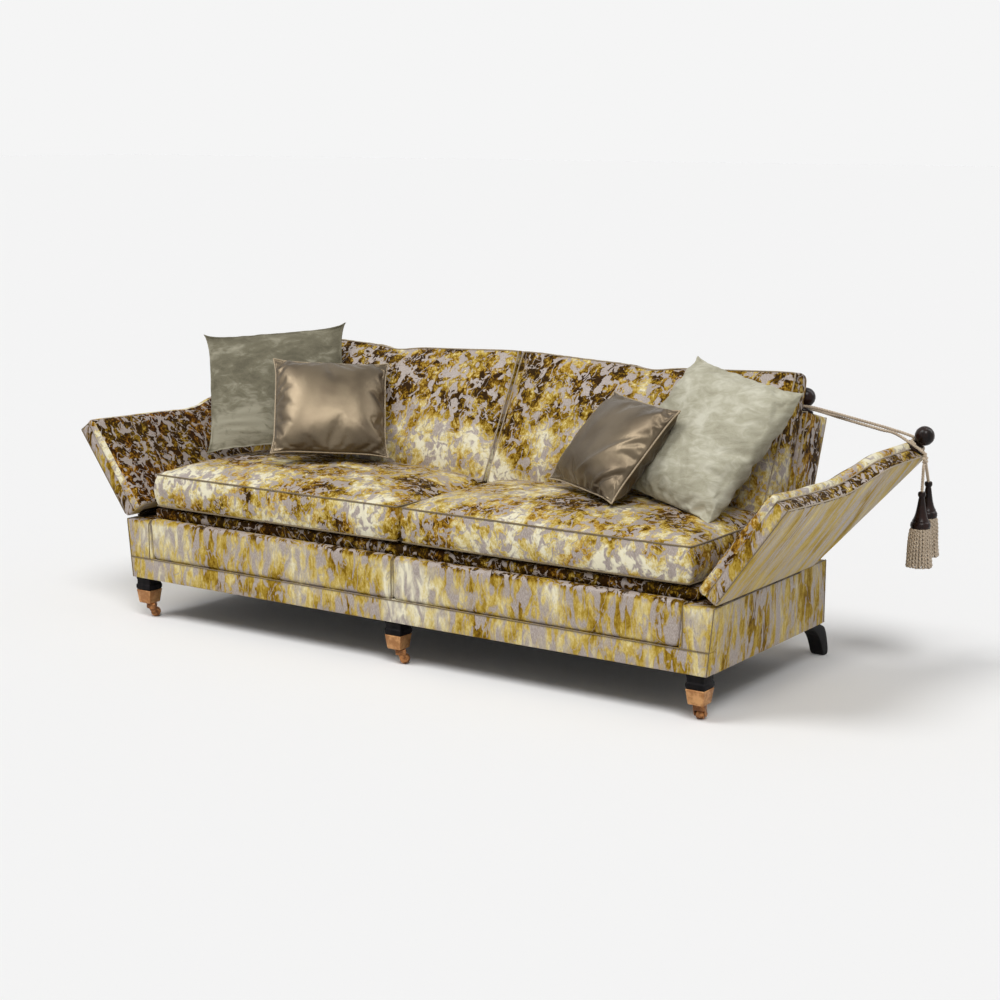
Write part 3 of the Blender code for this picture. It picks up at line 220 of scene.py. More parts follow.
def brocade(name, tone, contrast, bare, long, turn=(0, 0, 0), size=1.0, shift=(0, 0, 0),
            soft=1.0, rust=0.0, fleck=1.0, fade=None):
    """The cover as one panel wears it.

    tone: painted light and shade, 0 dark to 1 pale. contrast: how far it strays from that.
    bare: how much ground shows. long: the smaller, the longer the islands are upright.
    turn, size, shift: of the whole pattern. soft: blurs the islands' edges.
    rust: warmth of the dark pile. fleck: how much the pile is ruffled.
    fade: (axis, from, to, change of tone) across the piece, grading its painted light and shade.
    """
    finish, shader, place = new_finish(name)
    cloth = stretched(place, turn=turn, shift=shift, scale=(1 / size, 1 / size, 1 / size))
    lengthwise = stretched(cloth, (1, 1, long))
    broad = cloudy(stretched(cloth, (1, 1, 0.2 + 0.8 * long)), 7.5, 3.0, 0.55, 0.5)
    ruffle = cloudy(stretched(lengthwise, shift=(5.0, 0, 0)), 40.0, 4.0, 0.66, 0.6)
    tufts = cloudy(stretched(cloth, (1, 1, 0.4 + 0.4 * long)), 160.0, 3.0, 0.72)
    weave = cloudy(stretched(cloth, (1, 1, 0.3)), 420.0, 2.0, 0.7)

    pile_tone_and_painted_light = plus(off_middle(broad, 2.4 * contrast), tone)
    if fade:
        axis, start, end, change = fade
        along = add(place.id_data, "SeparateXYZ", {0: place}).outputs[axis]
        pile_tone_and_painted_light = plus(pile_tone_and_painted_light, step_up(along, start, end, 0.0, change))
    pile_tone_and_painted_light = maths("MAXIMUM", pile_tone_and_painted_light, 0.02)
    flecked = step_up(pile_tone_and_painted_light, 0.1, 0.7, 1.6 * fleck, 0.6 * fleck)
    ruffled = plus(off_middle(ruffle, 1.5), off_middle(tufts, 1.0))
    pile_tone_and_painted_light = plus(pile_tone_and_painted_light, times(ruffled, flecked))
    pile_colour = colour_ramp(pile_tone_and_painted_light, pile_colours)
    if rust:
        warm = step_up(cloudy(cloth, 9.0, 2.0), 0.45, 0.60, 0.0, rust)
        warm = times(warm, step_up(pile_tone_and_painted_light, 0.45, 0.75, 1.0, 0.0))
        pile_colour = blend_colours(warm, pile_colour, dye(*rust_dye), "MULTIPLY")

    ground = two_dyes(weave, 0.35, 0.7, dark_ground, light_ground)
    cut = cloudy(stretched(lengthwise, shift=(0, 7.0, 0)), 37.0, 2.6, 0.52, 0.8)
    where_bare = plus(off_middle(broad, 0.1), 0.5 - 0.13 * (1 - 2 * bare))
    edge = step_up(pile_tone_and_painted_light, 0.3, 0.8, 0.010 * soft, 0.060 * soft)
    inside = maths("DIVIDE", maths("SUBTRACT", cut, where_bare), edge)
    pile = step_up(inside, -1.0, 1.0)
    line = cloudy(stretched(lengthwise, shift=(2.0, 3.0, 0)), 15.0, 3.0, 0.52, 0.8)
    veins = step_up(maths("ABSOLUTE", off_middle(line, 1.0)), 0.005, 0.013)
    hidden = step_up(pile_tone_and_painted_light, 0.6, 1.0, min(0.85, 0.25 * (soft - 1)), 1.0)
    pile = times(pile, maths("MAXIMUM", veins, hidden))
    colour = blend_colours(pile, ground, pile_colour)

    relief = plus(times(pile, 0.8), times(weave, 0.3))
    relief = plus(relief, times(plus(ruffle, tufts), 1.2))
    dress_shader(shader, Base_Color=colour, Normal=raised(relief, 0.45, 0.003),
                 Roughness=step_up(pile, 0.0, 1.0, 0.42, 0.60),
                 Specular_IOR_Level=step_up(pile, 0.0, 1.0, 0.5, 0.05))
    return finish


arm_slope = math.radians(36)
slope_turn, rake_turn = (0, -arm_slope, 0), (0.35, 0, 0)
# Each panel's tone and fade are painted light and shade: tops and the arms' inner faces are painted
# dark, fronts and the arms' outer faces pale; the seat tops darken towards the back, the back
# cushions towards their head and the front panels at their lip.
front_brocade = brocade("brocade_front", tone=0.58, contrast=0.66, bare=0.40, long=0.35,
                        fleck=0.62, soft=2.2, fade=(2, 0.325, 0.346, -0.36))
border_brocade = brocade("brocade_seat_border", tone=0.64, contrast=0.7, bare=0.32, long=0.5,
                         fleck=0.7, soft=1.8, shift=(0.6, 0.9, 0))
side_brocade = brocade("brocade_side", tone=0.48, contrast=0.5, bare=0.42, long=0.26,
                       fleck=0.6, soft=2.8, shift=(0.3, 2.2, 0.9))
seat_brocade = brocade("brocade_seat_top", tone=0.60, contrast=1.0, bare=0.33, long=0.8, rust=0.2,
                       shift=(0.4, 0.1, 0.3), fade=(1, front_y + 0.04, front_y + 0.26, -0.24))
back_brocade = brocade("brocade_back_cushion", tone=0.66, contrast=1.0, bare=0.32, long=0.8,
                       rust=0.12, turn=rake_turn, shift=(0.1, 1.7, 0.55),
                       fade=(2, 0.61, 0.76, -0.44))
# The brocade's painted-shade copy, for the platform, the end ledges and the front rail, which lie
# in shade.
painted_shade_brocade = brocade("brocade_painted_shade", tone=0.0, contrast=0.4, bare=0.12, long=0.8, rust=0.3,
                        shift=(2.0, 0.6, 0.2))
arm_inner_brocade = brocade("brocade_arm_inner", tone=0.0, contrast=0.8, bare=0.28, long=0.7,
                            rust=0.45, size=1.1, turn=slope_turn, shift=(0.3, 0.2, 1.2))
arm_outer_brocade = brocade("brocade_arm_outer", tone=0.58, contrast=0.36, bare=0.42, long=0.2,
                            fleck=0.3, soft=4.4, turn=slope_turn, shift=(1.3, 0.7, 0.2))
arm_top_brocade = brocade("brocade_arm_top", tone=0.06, contrast=0.6, bare=0.26, long=0.9,
                          size=0.9, turn=slope_turn, shift=(0.9, 1.2, 0.4))
arm_pad_brocade = brocade("brocade_arm_pad", tone=0.64, contrast=1.1, bare=0.28, long=0.8,
                          rust=0.3, turn=slope_turn, shift=(0.2, 2.2, 0.7))
back_end_brocade = brocade("brocade_back_end", tone=0.36, contrast=1.0, bare=0.30, long=0.5,
                           rust=0.3, turn=rake_turn, shift=(1.2, 0.3, 0.7))
print("brocades:", [m.name for m in bpy.data.materials if m.name.startswith("brocade")])

# %% [markdown]
# ## Velvet, satin, piping, rope
# The large loose cushions are a crushed sage velvet: its pile lies in different directions, so it
# is mottled, and sheen lightens its edges. A darker copy of it is painted shade, worn by the left
# cushion and the right one's back. The small ones are a bronze satin whose threads reflect like
# dull metal, so it is part metallic and takes its lights from the lamps. Piping, rope and the black
# cloth under the base are plain threads.

# %% Plain cloths
def crushed_velvet(name, dark, middle, light, paler_below=0.0):
    """Velvet in three dyes. paler_below lightens its foot and darkens its head a little."""
    finish, shader, place = new_finish(name)
    bend = cloudy(place, 6.0, 3.0, 0.6, 1.0)
    streaks = cloudy(stretched(place, (1, 1, 2.2)), 18.0, 4.0, 0.62, 1.0)
    nap = cloudy(place, 420.0, 2.0, 0.8)
    mix = plus(times(bend, 0.55), times(streaks, 0.45))
    height = add(place.id_data, "SeparateXYZ", {0: place}).outputs[2]
    mix = plus(mix, step_up(height, 0.60, 0.84, paler_below, -0.4 * paler_below))
    tone = colour_ramp(mix, ((0.38, dark), (0.50, middle), (0.62, light)))
    dusty = blend_colours(step_up(nap, 0.3, 0.7, 0.0, 0.2), tone, dye(*light))
    dress_shader(shader, Base_Color=dusty, Roughness=0.8, Sheen_Weight=0.35,
                 Sheen_Roughness=0.35, Sheen_Tint=dye(228, 224, 210), Specular_IOR_Level=0.2,
                 Normal=raised(plus(nap, times(mix, 4.0)), 0.35, 0.002))
    return finish


def bronze_satin():
    finish, shader, place = new_finish("satin_bronze")
    threads = cloudy(stretched(place, (1, 1, 0.08)), 900.0, 2.0, 0.6)
    drift = cloudy(place, 9.0, 2.0)
    colour = two_dyes(drift, 0.35, 0.65, (92, 80, 63), (114, 101, 81))
    colour = blend_colours(step_up(threads, 0.3, 0.7, 0.0, 0.3), colour, dye(72, 61, 47))
    dress_shader(shader, Base_Color=colour, Metallic=0.75, Sheen_Weight=0.05,
                 Roughness=step_up(threads, 0.3, 0.7, 0.30, 0.42),
                 Normal=raised(threads, 0.35, 0.0008))
    return finish


def plain_thread(name, light, shade, roughness=0.8):
    finish, shader, place = new_finish(name)
    threads = cloudy(place, 700.0, 2.0, 0.6)
    slow = cloudy(place, 30.0, 2.0)
    colour = two_dyes(threads, 0.35, 0.65, shade, light)
    colour = blend_colours(step_up(slow, 0.4, 0.7, 0.0, 0.3), colour, dye(*shade))
    dress_shader(shader, Base_Color=colour, Roughness=roughness, Sheen_Weight=0.2,
                 Normal=raised(threads, 0.3, 0.0006))
    return finish


sage_velvet = crushed_velvet("velvet_sage", (152, 147, 126), (174, 170, 149), (200, 197, 179))
# A darker copy of the same velvet, as painted shade.
shaded_velvet = crushed_velvet("velvet_sage_painted_shade", (88, 83, 66), (108, 103, 84),
                               (150, 145, 126), 0.10)
satin = bronze_satin()
taupe_piping = plain_thread("piping_taupe", (140, 122, 86), (84, 68, 44))
pale_piping = plain_thread("piping_pale", (186, 172, 150), (128, 110, 80))
satin_piping = plain_thread("piping_satin", (190, 172, 140), (120, 100, 74), roughness=0.5)
rope_thread = plain_thread("rope", (216, 200, 178), (158, 138, 114))
black_cloth = plain_thread("black_cloth", (34, 33, 34), (20, 20, 21), roughness=0.9)
print("cloths: two velvets, satin, three pipings, rope, black cloth")

# %% [markdown]
# ## Woods and metals
# The turned finials and tassel heads are dark polished wood, the collars are ebonised, and the
# cups and castors are a coppery metal gone brown and duller in patches. The rails inside are plain
# beech, apart from the front one, whose top shows behind the border and is covered in the
# brocade's painted-shade copy.

# %% Woods and metals
def polished_wood(name, light, dark, roughness, coat, grain=60.0, specular=0.25):
    """Wood with an upright grain, so many lines of it to the metre."""
    finish, shader, place = new_finish(name)
    lines = cloudy(stretched(place, (1, 1, 0.12)), grain, 4.0, 0.6, 0.3)
    colour = two_dyes(lines, 0.35, 0.68, dark, light)
    dress_shader(shader, Base_Color=colour, Coat_Weight=coat, Coat_Roughness=0.10,
                 Specular_IOR_Level=specular,
                 Roughness=step_up(lines, 0.3, 0.7, roughness, roughness + 0.12),
                 Normal=raised(lines, 0.08, 0.0008))
    return finish


def worn_metal(name, light, dark, roughness, metallic=1.0):
    """Metal that is dark and duller in patches."""
    finish, shader, place = new_finish(name)
    wear = cloudy(place, 45.0, 4.0, 0.6)
    fine = cloudy(place, 600.0, 2.0)
    colour = two_dyes(wear, 0.38, 0.62, dark, light)
    dress_shader(shader, Base_Color=colour, Metallic=metallic,
                 Roughness=step_up(wear, 0.3, 0.7, roughness + 0.14, roughness),
                 Normal=raised(plus(wear, times(fine, 0.3)), 0.08, 0.0008))
    return finish


dark_wood = polished_wood("dark_wood", (40, 22, 17), (14, 8, 7), 0.24, 0.12, specular=0.12)
ebony = polished_wood("ebonised", (24, 20, 21), (9, 8, 9), 0.45, 0.02, specular=0.08)
beech = polished_wood("beech", (206, 168, 120), (168, 126, 82), 0.55, 0.0, grain=30.0)
copper = worn_metal("copper_cup", (204, 154, 102), (166, 116, 72), 0.36, metallic=0.7)
castor_metal = worn_metal("castor_metal", (184, 128, 78), (104, 66, 38), 0.36, metallic=0.7)
hinge_metal = worn_metal("dark_hinge", (92, 78, 60), (48, 40, 32), 0.45)

hidden_wood = [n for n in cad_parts
               if n != "front_rail" and n.endswith(("_rail", "_arm_board"))] + ["back_frame"]
# The front rail wears the brocade's painted-shade copy.
carried_over = ((hidden_wood, beech, "beech"), (["front_rail"], painted_shade_brocade, "brocade"),
                (["dust_cover"], black_cloth, "black_cloth"),
                ([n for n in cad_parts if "_hinge_" in n], hinge_metal, "steel"))
for names, finish, slot_name in carried_over:
    for name in names:
        wear_finish(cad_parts[name], finish)
print("carried over:", sum(len(names) for names, _, _ in carried_over), "solids")

# %% [markdown]
# ## Modelling helpers
# An operator works on whatever is selected, so each step first selects only what it should touch.
# A cushion or a padded panel starts as a cube whose edges are divided as finely as the cloth needs.

# %% Modelling helpers
def only(*pieces):
    """Selects these objects alone. The first is the active one."""
    bpy.ops.object.select_all(action="DESELECT")
    for piece in pieces:
        piece.select_set(True)
    bpy.context.view_layer.objects.active = pieces[0]


def named(piece, name):
    piece.name = piece.data.name = name
    return piece


def fresh(name, add_shape, **settings):
    """A new piece from one of Blender's own shapes, selected alone."""
    bpy.ops.object.select_all(action="DESELECT")
    add_shape(**settings)
    return named(bpy.context.object, name)


def copied(piece, name):
    """A copy with a mesh of its own."""
    only(piece)
    bpy.ops.object.duplicate()
    return named(bpy.context.object, name)


def other_side(piece, name):
    """A mirrored copy for the other side of the sofa."""
    copy = copied(piece, name)
    copy.data.transform(Matrix.Scale(-1, 4, (1, 0, 0)))
    copy.data.flip_normals()
    return copy


def joined(pieces, name):
    """Joins all the pieces into the first."""
    only(*pieces)
    bpy.ops.object.join()
    return named(bpy.context.object, name)


def columns(*values):
    """Points from their coordinates. A single value stands for the whole column."""
    return np.column_stack(np.broadcast_arrays(*values))


def points_of(piece):
    points = np.empty(len(piece.data.vertices) * 3)
    piece.data.vertices.foreach_get("co", points)
    return points.reshape(-1, 3)


def move_points(piece, points):
    piece.data.vertices.foreach_set("co", np.ascontiguousarray(points, dtype=float).ravel())
    piece.data.update()


def placed(piece, place):
    """Puts a piece's place and turn into its mesh, so that its object stays at the origin."""
    piece.data.transform(place)
    return piece


def divided(piece, axis, cells):
    """Divides the edges that run the whole length of an axis, from -1 to 1, into cells."""
    bpy.ops.object.mode_set(mode="EDIT")
    bpy.ops.mesh.select_mode(type="EDGE")
    bpy.ops.mesh.select_all(action="DESELECT")
    bpy.ops.object.mode_set(mode="OBJECT")
    corners = points_of(piece)
    for edge in piece.data.edges:
        start, end = edge.vertices
        edge.select = bool(abs(corners[start][axis] - corners[end][axis]) > 1)
    bpy.ops.object.mode_set(mode="EDIT")
    bpy.ops.mesh.subdivide(number_cuts=cells - 1)
    bpy.ops.object.mode_set(mode="OBJECT")


def gridded_cube(name, cells):
    """A cube from -1 to 1 whose edges along X, Y and Z are divided into these many cells."""
    piece = fresh(name, bpy.ops.mesh.primitive_cube_add, size=2)
    for axis, count in enumerate(cells):
        if count > 1:
            divided(piece, axis, count)
    return piece


def drawn_up(piece, levels):
    """Extrudes a flat outline upwards through (size, height) levels, from the bottom."""
    size, height = levels[0]
    bpy.ops.object.mode_set(mode="EDIT")
    bpy.ops.mesh.select_all(action="SELECT")
    bpy.ops.transform.translate(value=(0, 0, height))
    for next_size, next_height in levels[1:]:
        rise, share = next_height - height, next_size / size
        bpy.ops.mesh.extrude_region_move(TRANSFORM_OT_translate={"value": (0, 0, rise)})
        bpy.ops.transform.resize(value=(share, share, 1), center_override=(0, 0, next_height))
        size, height = next_size, next_height
    bpy.ops.object.mode_set(mode="OBJECT")
    return piece


def merged(piece, distance):
    """Merges points that are closer than this and turns all faces outwards."""
    only(piece)
    bpy.ops.object.mode_set(mode="EDIT")
    bpy.ops.mesh.select_all(action="SELECT")
    bpy.ops.mesh.remove_doubles(threshold=distance)
    bpy.ops.mesh.normals_make_consistent(inside=False)
    bpy.ops.object.mode_set(mode="OBJECT")
    return piece


def applied(piece, kind, **settings):
    """Adds a modifier with these settings and applies it."""
    only(piece)
    modifier = piece.modifiers.new(kind.lower(), kind)
    for name, value in settings.items():
        setattr(modifier, name, value)
    bpy.ops.object.modifier_apply(modifier=modifier.name)
    return piece


def bevelled(piece, width, segments, degrees):
    """Rounds the edges that are sharper than this angle."""
    return applied(piece, "BEVEL", width=width, segments=segments, limit_method="ANGLE",
                   angle_limit=math.radians(degrees))


def smoothed(piece, degrees=40):
    only(piece)
    bpy.ops.object.shade_smooth_by_angle(angle=math.radians(degrees))
    return piece


def seated(piece, body, slot_name, *nodes):
    """The piece rides on a body and hides the solids it stands for. slot_name is not used."""
    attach(piece, body)
    if nodes:
        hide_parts(*nodes)
    return piece


def seated_twice(piece, body, slot_name, node):
    """Seats a piece of the right side, and its mirrored copy on the left."""
    seated(piece, body, slot_name, node)
    copy = other_side(piece, piece.name.replace("right", "left"))
    seated(copy, body.replace("right", "left"), slot_name, node.replace("right", "left"))


def cord_along(name, points, radius, finish, closed=False):
    """A round cord through these points, as a mesh."""
    line = bpy.data.curves.new(name, "CURVE")
    line.dimensions = "3D"
    line.bevel_depth = radius
    line.bevel_resolution = 2
    line.use_fill_caps = not closed
    spline = line.splines.new("POLY")
    spline.points.add(len(points) - 1)
    spline.points.foreach_set("co", np.column_stack([points, np.ones(len(points))]).ravel())
    spline.use_cyclic_u = closed
    cord = bpy.data.objects.new(name, line)
    scene.collection.objects.link(cord)
    only(cord)
    bpy.ops.object.convert(target="MESH")
    cord = named(bpy.context.object, name)
    bpy.ops.object.shade_smooth()
    return wear_finish(cord, finish)


def piped(name, points, radius, finish, slot_name="brocade", closed=False):
    """A piping that is sewn to the sofa."""
    return seated(cord_along(name, points, radius, finish, closed), "sofa", slot_name)


def turned_box(node, turn):
    """A solid's lowest and highest corner in a frame turned with it."""
    points = points_of(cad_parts[node]) @ np.array(turn)
    return Vector(points.min(0)), Vector(points.max(0))


def eased(points):
    """Crowds evenly spaced lines towards the edges, where a cushion turns fastest."""
    return points + 0.12 * np.sin(points * np.pi)

# %% [markdown]
# ## Blowing up a cushion
# A real cushion is a cloth case that its filling stretches. Blender's cloth does the same: the
# case starts a little slack, air pressure fills it, and the sewn lines are pinned, so the spare
# cloth gathers into short puckers along the seams. No point may move further than the cap,
# which keeps each cushion in the space its solid holds.

# %% Cloth simulation
def blown_up(piece, sewn, pressure, slack, cap, bending=0.4, frames=20):
    """Fills a case with air. sewn are the vertices of its sewn lines."""
    start = points_of(piece)
    group = piece.vertex_groups.new(name="sewn")
    group.add([int(i) for i in sewn], 1.0, "REPLACE")
    only(piece)
    cloth = piece.modifiers.new("case", "CLOTH")
    settings = cloth.settings
    settings.quality = 6
    settings.mass = 0.15
    settings.use_pressure = True
    settings.uniform_pressure_force = pressure
    settings.effector_weights.gravity = 0.0
    settings.vertex_group_mass = "sewn"
    settings.shrink_min = -slack
    settings.bending_stiffness = bending
    settings.tension_stiffness = 20.0
    settings.compression_stiffness = 20.0
    cloth.collision_settings.use_collision = False
    for number in range(1, frames + 1):
        scene.frame_set(number)
    only(piece)
    bpy.ops.object.modifier_apply(modifier=cloth.name)
    scene.frame_set(1)
    moved = points_of(piece) - start
    length = np.linalg.norm(moved, axis=1, keepdims=True)
    held = moved * (cap * np.tanh(length / cap) / np.maximum(length, 1e-9))
    move_points(piece, start + held)
    piece.vertex_groups.clear()
    print(" ", piece.name, "swelled by", round(float(length.max()) * 1000, 1), "mm, mean",
          round(float(length.mean()) * 1000, 1))
    return piece


def finished_cushion(piece, finishes):
    """Smooths a case and covers it."""
    applied(piece, "SUBSURF", levels=1, render_levels=1)
    only(piece)
    bpy.ops.object.shade_smooth()
    return wear_finish(piece, *finishes)


def crown(u, v, power=0.5):
    """1 in the middle of a panel and 0 along its edge."""
    return np.maximum(0.0, (1 - u * u) * (1 - v * v)) ** power


def pushed_out(share, reach, bulge):
    """Takes shares from -1 to 1 to their reach, and out by the bulge at both ends."""
    return np.sign(share) * (np.abs(share) * reach + bulge * np.abs(share) ** 6)


def second_finish(piece, across):
    """The border takes the second finish: its faces lie between the ends of across."""
    for face in piece.data.polygons:
        face.material_index = int(min(abs(across[i]) for i in face.vertices) < 0.99)


def ring_order(points, picked):
    """The picked vertices in order round the middle, as seen along the third axis."""
    return picked[np.argsort(np.arctan2(points[picked, 1], points[picked, 0]))]

# %% [markdown]
# ## Seat cushions
# Two boxed cushions fill the seat. Each has a top, a bottom and a border between two piped seams.
# The border bulges a little and the top is crowned. The case starts at less than its full height
# and the simulation fills the rest. Both piped lines follow the seams as the cloth left them.

# %% Seat cushions
def seat_cushion(name, side):
    """side: -1 for the left, 1 for the right. The outer end stands over the base a little."""
    low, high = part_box(name)
    middle_x, middle_y = (low.x + high.x) / 2, (low.y + high.y) / 2
    border, rise, under = 0.108, 0.046, 0.012
    piece = gridded_cube(name + "_cover", (96, 56, 8))
    flat = points_of(piece)
    u, v, w = eased(flat[:, 0]), eased(flat[:, 1]), flat[:, 2]
    corner = 0.005 * np.abs(u) ** 12 * np.abs(v) ** 12
    bulge = 0.006 * (1 - w * w)
    outer = u * side > 0
    reach = (high.x - low.x) / 2 + np.where(outer, 0.007, -0.004)
    top = np.where(w > 0, rise * 0.86, under)
    waves = np.sin(u * 23 + side) * np.cos(v * 5) + np.sin(v * 19 + u * 4 + side)
    height = w * (border / 2 + top * crown(u, v) * np.abs(w))
    height += np.where(w > 0.99, 0.0022 * waves * crown(u, v, 0.8), 0)
    shaped = np.column_stack([pushed_out(u, reach - corner, bulge * (1 + outer)),
                              pushed_out(v, (high.y - low.y) / 2 - 0.004 - corner, bulge), height])
    move_points(piece, shaped)
    second_finish(piece, w)
    rim = np.where((np.maximum(np.abs(u), np.abs(v)) > 0.999) & (np.abs(w) > 0.99))[0]
    seams = [ring_order(shaped, rim[w[rim] * way > 0]) for way in (1, -1)]
    blown_up(piece, rim, pressure=5.0, slack=0.012, cap=0.012)
    placed(piece, Matrix.Translation((middle_x, middle_y, low.z + under + border / 2)))
    settled = points_of(piece)
    finished_cushion(piece, (seat_brocade, border_brocade))
    seated(piece, "sofa", "brocade", name)
    for word, seam, drop in (("upper", seams[0], 0.0005), ("lower", seams[1], -0.0005)):
        line = settled[seam] - [0, 0, drop]
        outward = line - [middle_x, middle_y, 0]
        outward[:, 2] = 0
        outward /= np.linalg.norm(outward, axis=1, keepdims=True)
        piped(f"{name}_{word}_piping", line + outward * 0.0010, 0.0026, taupe_piping, closed=True)
    return piece


seats = [seat_cushion("left_seat_cushion", -1), seat_cushion("right_seat_cushion", 1)]

# %% [markdown]
# ## Back cushions
# The back cushions are wedges, thick at the foot and thin at the head, that lean on the raked
# back. Their square corners stand above the back's frame and the top edge dips in the middle.
# The foot is cut level and is laid on the seat cushions: a ray straight down from each low point
# finds the seat's cloth, and the point is lifted to it.

# %% Back cushions
back_rake = math.radians(20)
back_turn = Matrix.Rotation(-back_rake, 3, "X")


def rested(points, supports, axis, way, ray_start, gap):
    """Moves the points that have sunk into the supports back along an axis, one way."""
    ray = Vector((0, 0, 0))
    ray[axis] = -way
    for point in points:
        for support in supports:
            origin = Vector(point)
            origin[axis] = ray_start
            hit, spot, _, _ = support.ray_cast(origin, ray)
            if hit and way * (spot[axis] + way * gap) > way * point[axis]:
                point[axis] = spot[axis] + way * gap
    return points


def laid_on_seats(points):
    return rested(points, seats, axis=2, way=1, ray_start=0.7, gap=0.0008)


def back_cushion(name, side):
    """side: -1 for the left, 1 for the right. It only sets where the creases lie."""
    low, high = turned_box(name, back_turn)
    foot, head, rise, half_height = 0.150, 0.088, 0.048, 0.197
    piece = gridded_cube(name + "_cover", (96, 8, 40))
    flat = points_of(piece)
    u, w, v = eased(flat[:, 0]), flat[:, 1], eased(flat[:, 2])
    share = (v + 1) / 2
    corner = 0.004 * np.abs(u) ** 12 * np.abs(v) ** 12
    bulge = 0.007 * (1 - w * w)
    up = pushed_out(v, half_height - corner, bulge)
    up += (0.019 * np.abs(u) ** 1.6 - 0.011 * np.exp(-(u / 0.14) ** 2)) * np.maximum(0, v) ** 3
    depth = foot + (head - foot) * share + rise * 0.84 * crown(u, v)
    ahead = -depth * (1 - w) / 2
    up += ahead * math.tan(back_rake) * 0.95 * (1 - share) ** 1.5
    creases = np.sin(u * 17 + side * 2) * np.cos(v * 6) + np.sin(v * 9 + u * 11)
    ahead += np.where(w < -0.99, 0.002 * creases * crown(u, v, 0.8), 0)
    across = pushed_out(u, (high.x - low.x) / 2 - 0.003 - corner, bulge)
    move_points(piece, np.column_stack([across, ahead, up]))
    second_finish(piece, w)
    front_rim = (np.maximum(np.abs(u), np.abs(v)) > 0.999) & (w < -0.99)
    seam = ring_order(flat[:, [0, 2, 1]], np.where(front_rim)[0])
    blown_up(piece, np.where(front_rim | (w > 0.99))[0], pressure=5.0, slack=0.015, cap=0.014)
    centre = Vector(((low.x + high.x) / 2, high.y, (low.z + high.z) / 2))
    placed(piece, back_turn.to_4x4() @ Matrix.Translation(centre))
    move_points(piece, laid_on_seats(points_of(piece)))
    line = points_of(piece)[seam]
    finished_cushion(piece, (back_brocade, arm_pad_brocade))
    seated(piece, "sofa", "brocade", name)
    piped(name + "_piping", line, 0.0024, pale_piping, closed=True)
    return piece


backs = [back_cushion("left_back_cushion", -1), back_cushion("right_back_cushion", 1)]

# %% [markdown]
# ## Loose cushions
# Each is two square panels sewn round a knife edge, with no border. The filling pulls the sides
# in between the corners, which stand out as rounded ears. A few folds are laid across the front
# panel, then the seam is pinned and the spare cloth puckers against it. Where a cushion would sink
# into the seat or the back, rays find the other cloth and the point is moved to it.

# %% Loose cushions
def folds(u, v, lines):
    """Adds up soft folds. Each is (u, v, angle in degrees, length, width, height)."""
    height = np.zeros_like(u)
    for middle_u, middle_v, angle, length, width, rise in lines:
        c, s = math.cos(math.radians(angle)), math.sin(math.radians(angle))
        along = (u - middle_u) * c + (v - middle_v) * s
        across = (v - middle_v) * c - (u - middle_u) * s
        height += rise * np.exp(-(along / length) ** 2 - (across / width) ** 2)
    return height


def loose_cushion(name, size, drawn, ripple, slack, place, degrees, finishes, slot_name, lines,
                  thread=None):
    """size: across, up and thick. drawn: how far the sides are pulled in between the corners.

    degrees: turn about Z, lean back, and roll. finishes: the front's and the back's.
    lines: the front's folds. thread: its piping, if it has one.
    """
    width, height, thickness = size
    piece = gridded_cube(name + "_cover", (60, 1, 60))
    flat = points_of(piece)
    u, v, side = eased(flat[:, 0]), eased(flat[:, 2]), np.sign(flat[:, 1])
    tip = 0.035 * np.abs(u * v) ** 14
    pull_x = drawn * (1 - np.abs(v) ** 6) * u * u + tip
    pull_z = drawn * (1 - np.abs(u) ** 6) * v * v + tip
    rng = np.random.default_rng(len(name) + int(abs(degrees[0])))
    phase = rng.uniform(0, 6.28, 8)
    near_rim = np.maximum(np.abs(u), np.abs(v)) ** 6
    pucker = (np.sin(u * 31 + phase[0]) * np.sin(v * 27 + phase[1])
              + np.sin(u * 13 + v * 17 + phase[2]))
    slow = np.sin(u * 5 + phase[3] + v * 2) * np.cos(v * 4 + phase[4])
    swell = thickness / 2 * np.where(side < 0, 0.86 * crown(u, v, 0.44), 1.05 * crown(u, v, 0.34))
    swell *= 1 + ripple * (0.5 * slow + pucker * near_rim)
    swell += np.where(side < 0, folds(u, v, lines) * np.minimum(1, 4 * crown(u, v, 0.8)), 0)
    shaped = np.column_stack([width / 2 * u * (1 - pull_x), side * swell,
                              height / 2 * v * (1 - pull_z)])
    move_points(piece, shaped)
    for face in piece.data.polygons:
        face.material_index = int(all(side[i] > 0 for i in face.vertices))
    rim = np.maximum(np.abs(flat[:, 0]), np.abs(flat[:, 2])) > 0.999
    merged(piece, 0.00005)
    points = points_of(piece)
    targets = {tuple(np.round(p, 5)) for p in shaped[rim]}
    sewn = np.array([i for i, p in enumerate(points) if tuple(np.round(p, 5)) in targets])
    seam = ring_order(points[:, [0, 2, 1]], sewn)
    blown_up(piece, sewn, pressure=4.0, slack=slack, cap=0.024, bending=0.2)
    turn, lean, roll = (math.radians(angle) for angle in degrees)
    placed(piece, Matrix.Translation((place[0], front_y + place[1], place[2]))
           @ Matrix.Rotation(turn, 4, "Z") @ Matrix.Rotation(-lean, 4, "X")
           @ Matrix.Rotation(roll, 4, "Y"))
    points = laid_on_seats(points_of(piece))
    move_points(piece, rested(points, backs, axis=1, way=-1, ray_start=-1.0, gap=0.001))
    line = points_of(piece)[seam]
    finished_cushion(piece, finishes)
    seated(piece, "sofa", slot_name, name)
    if thread:
        piped(name + "_piping", line, 0.0026, thread, slot_name, closed=True)
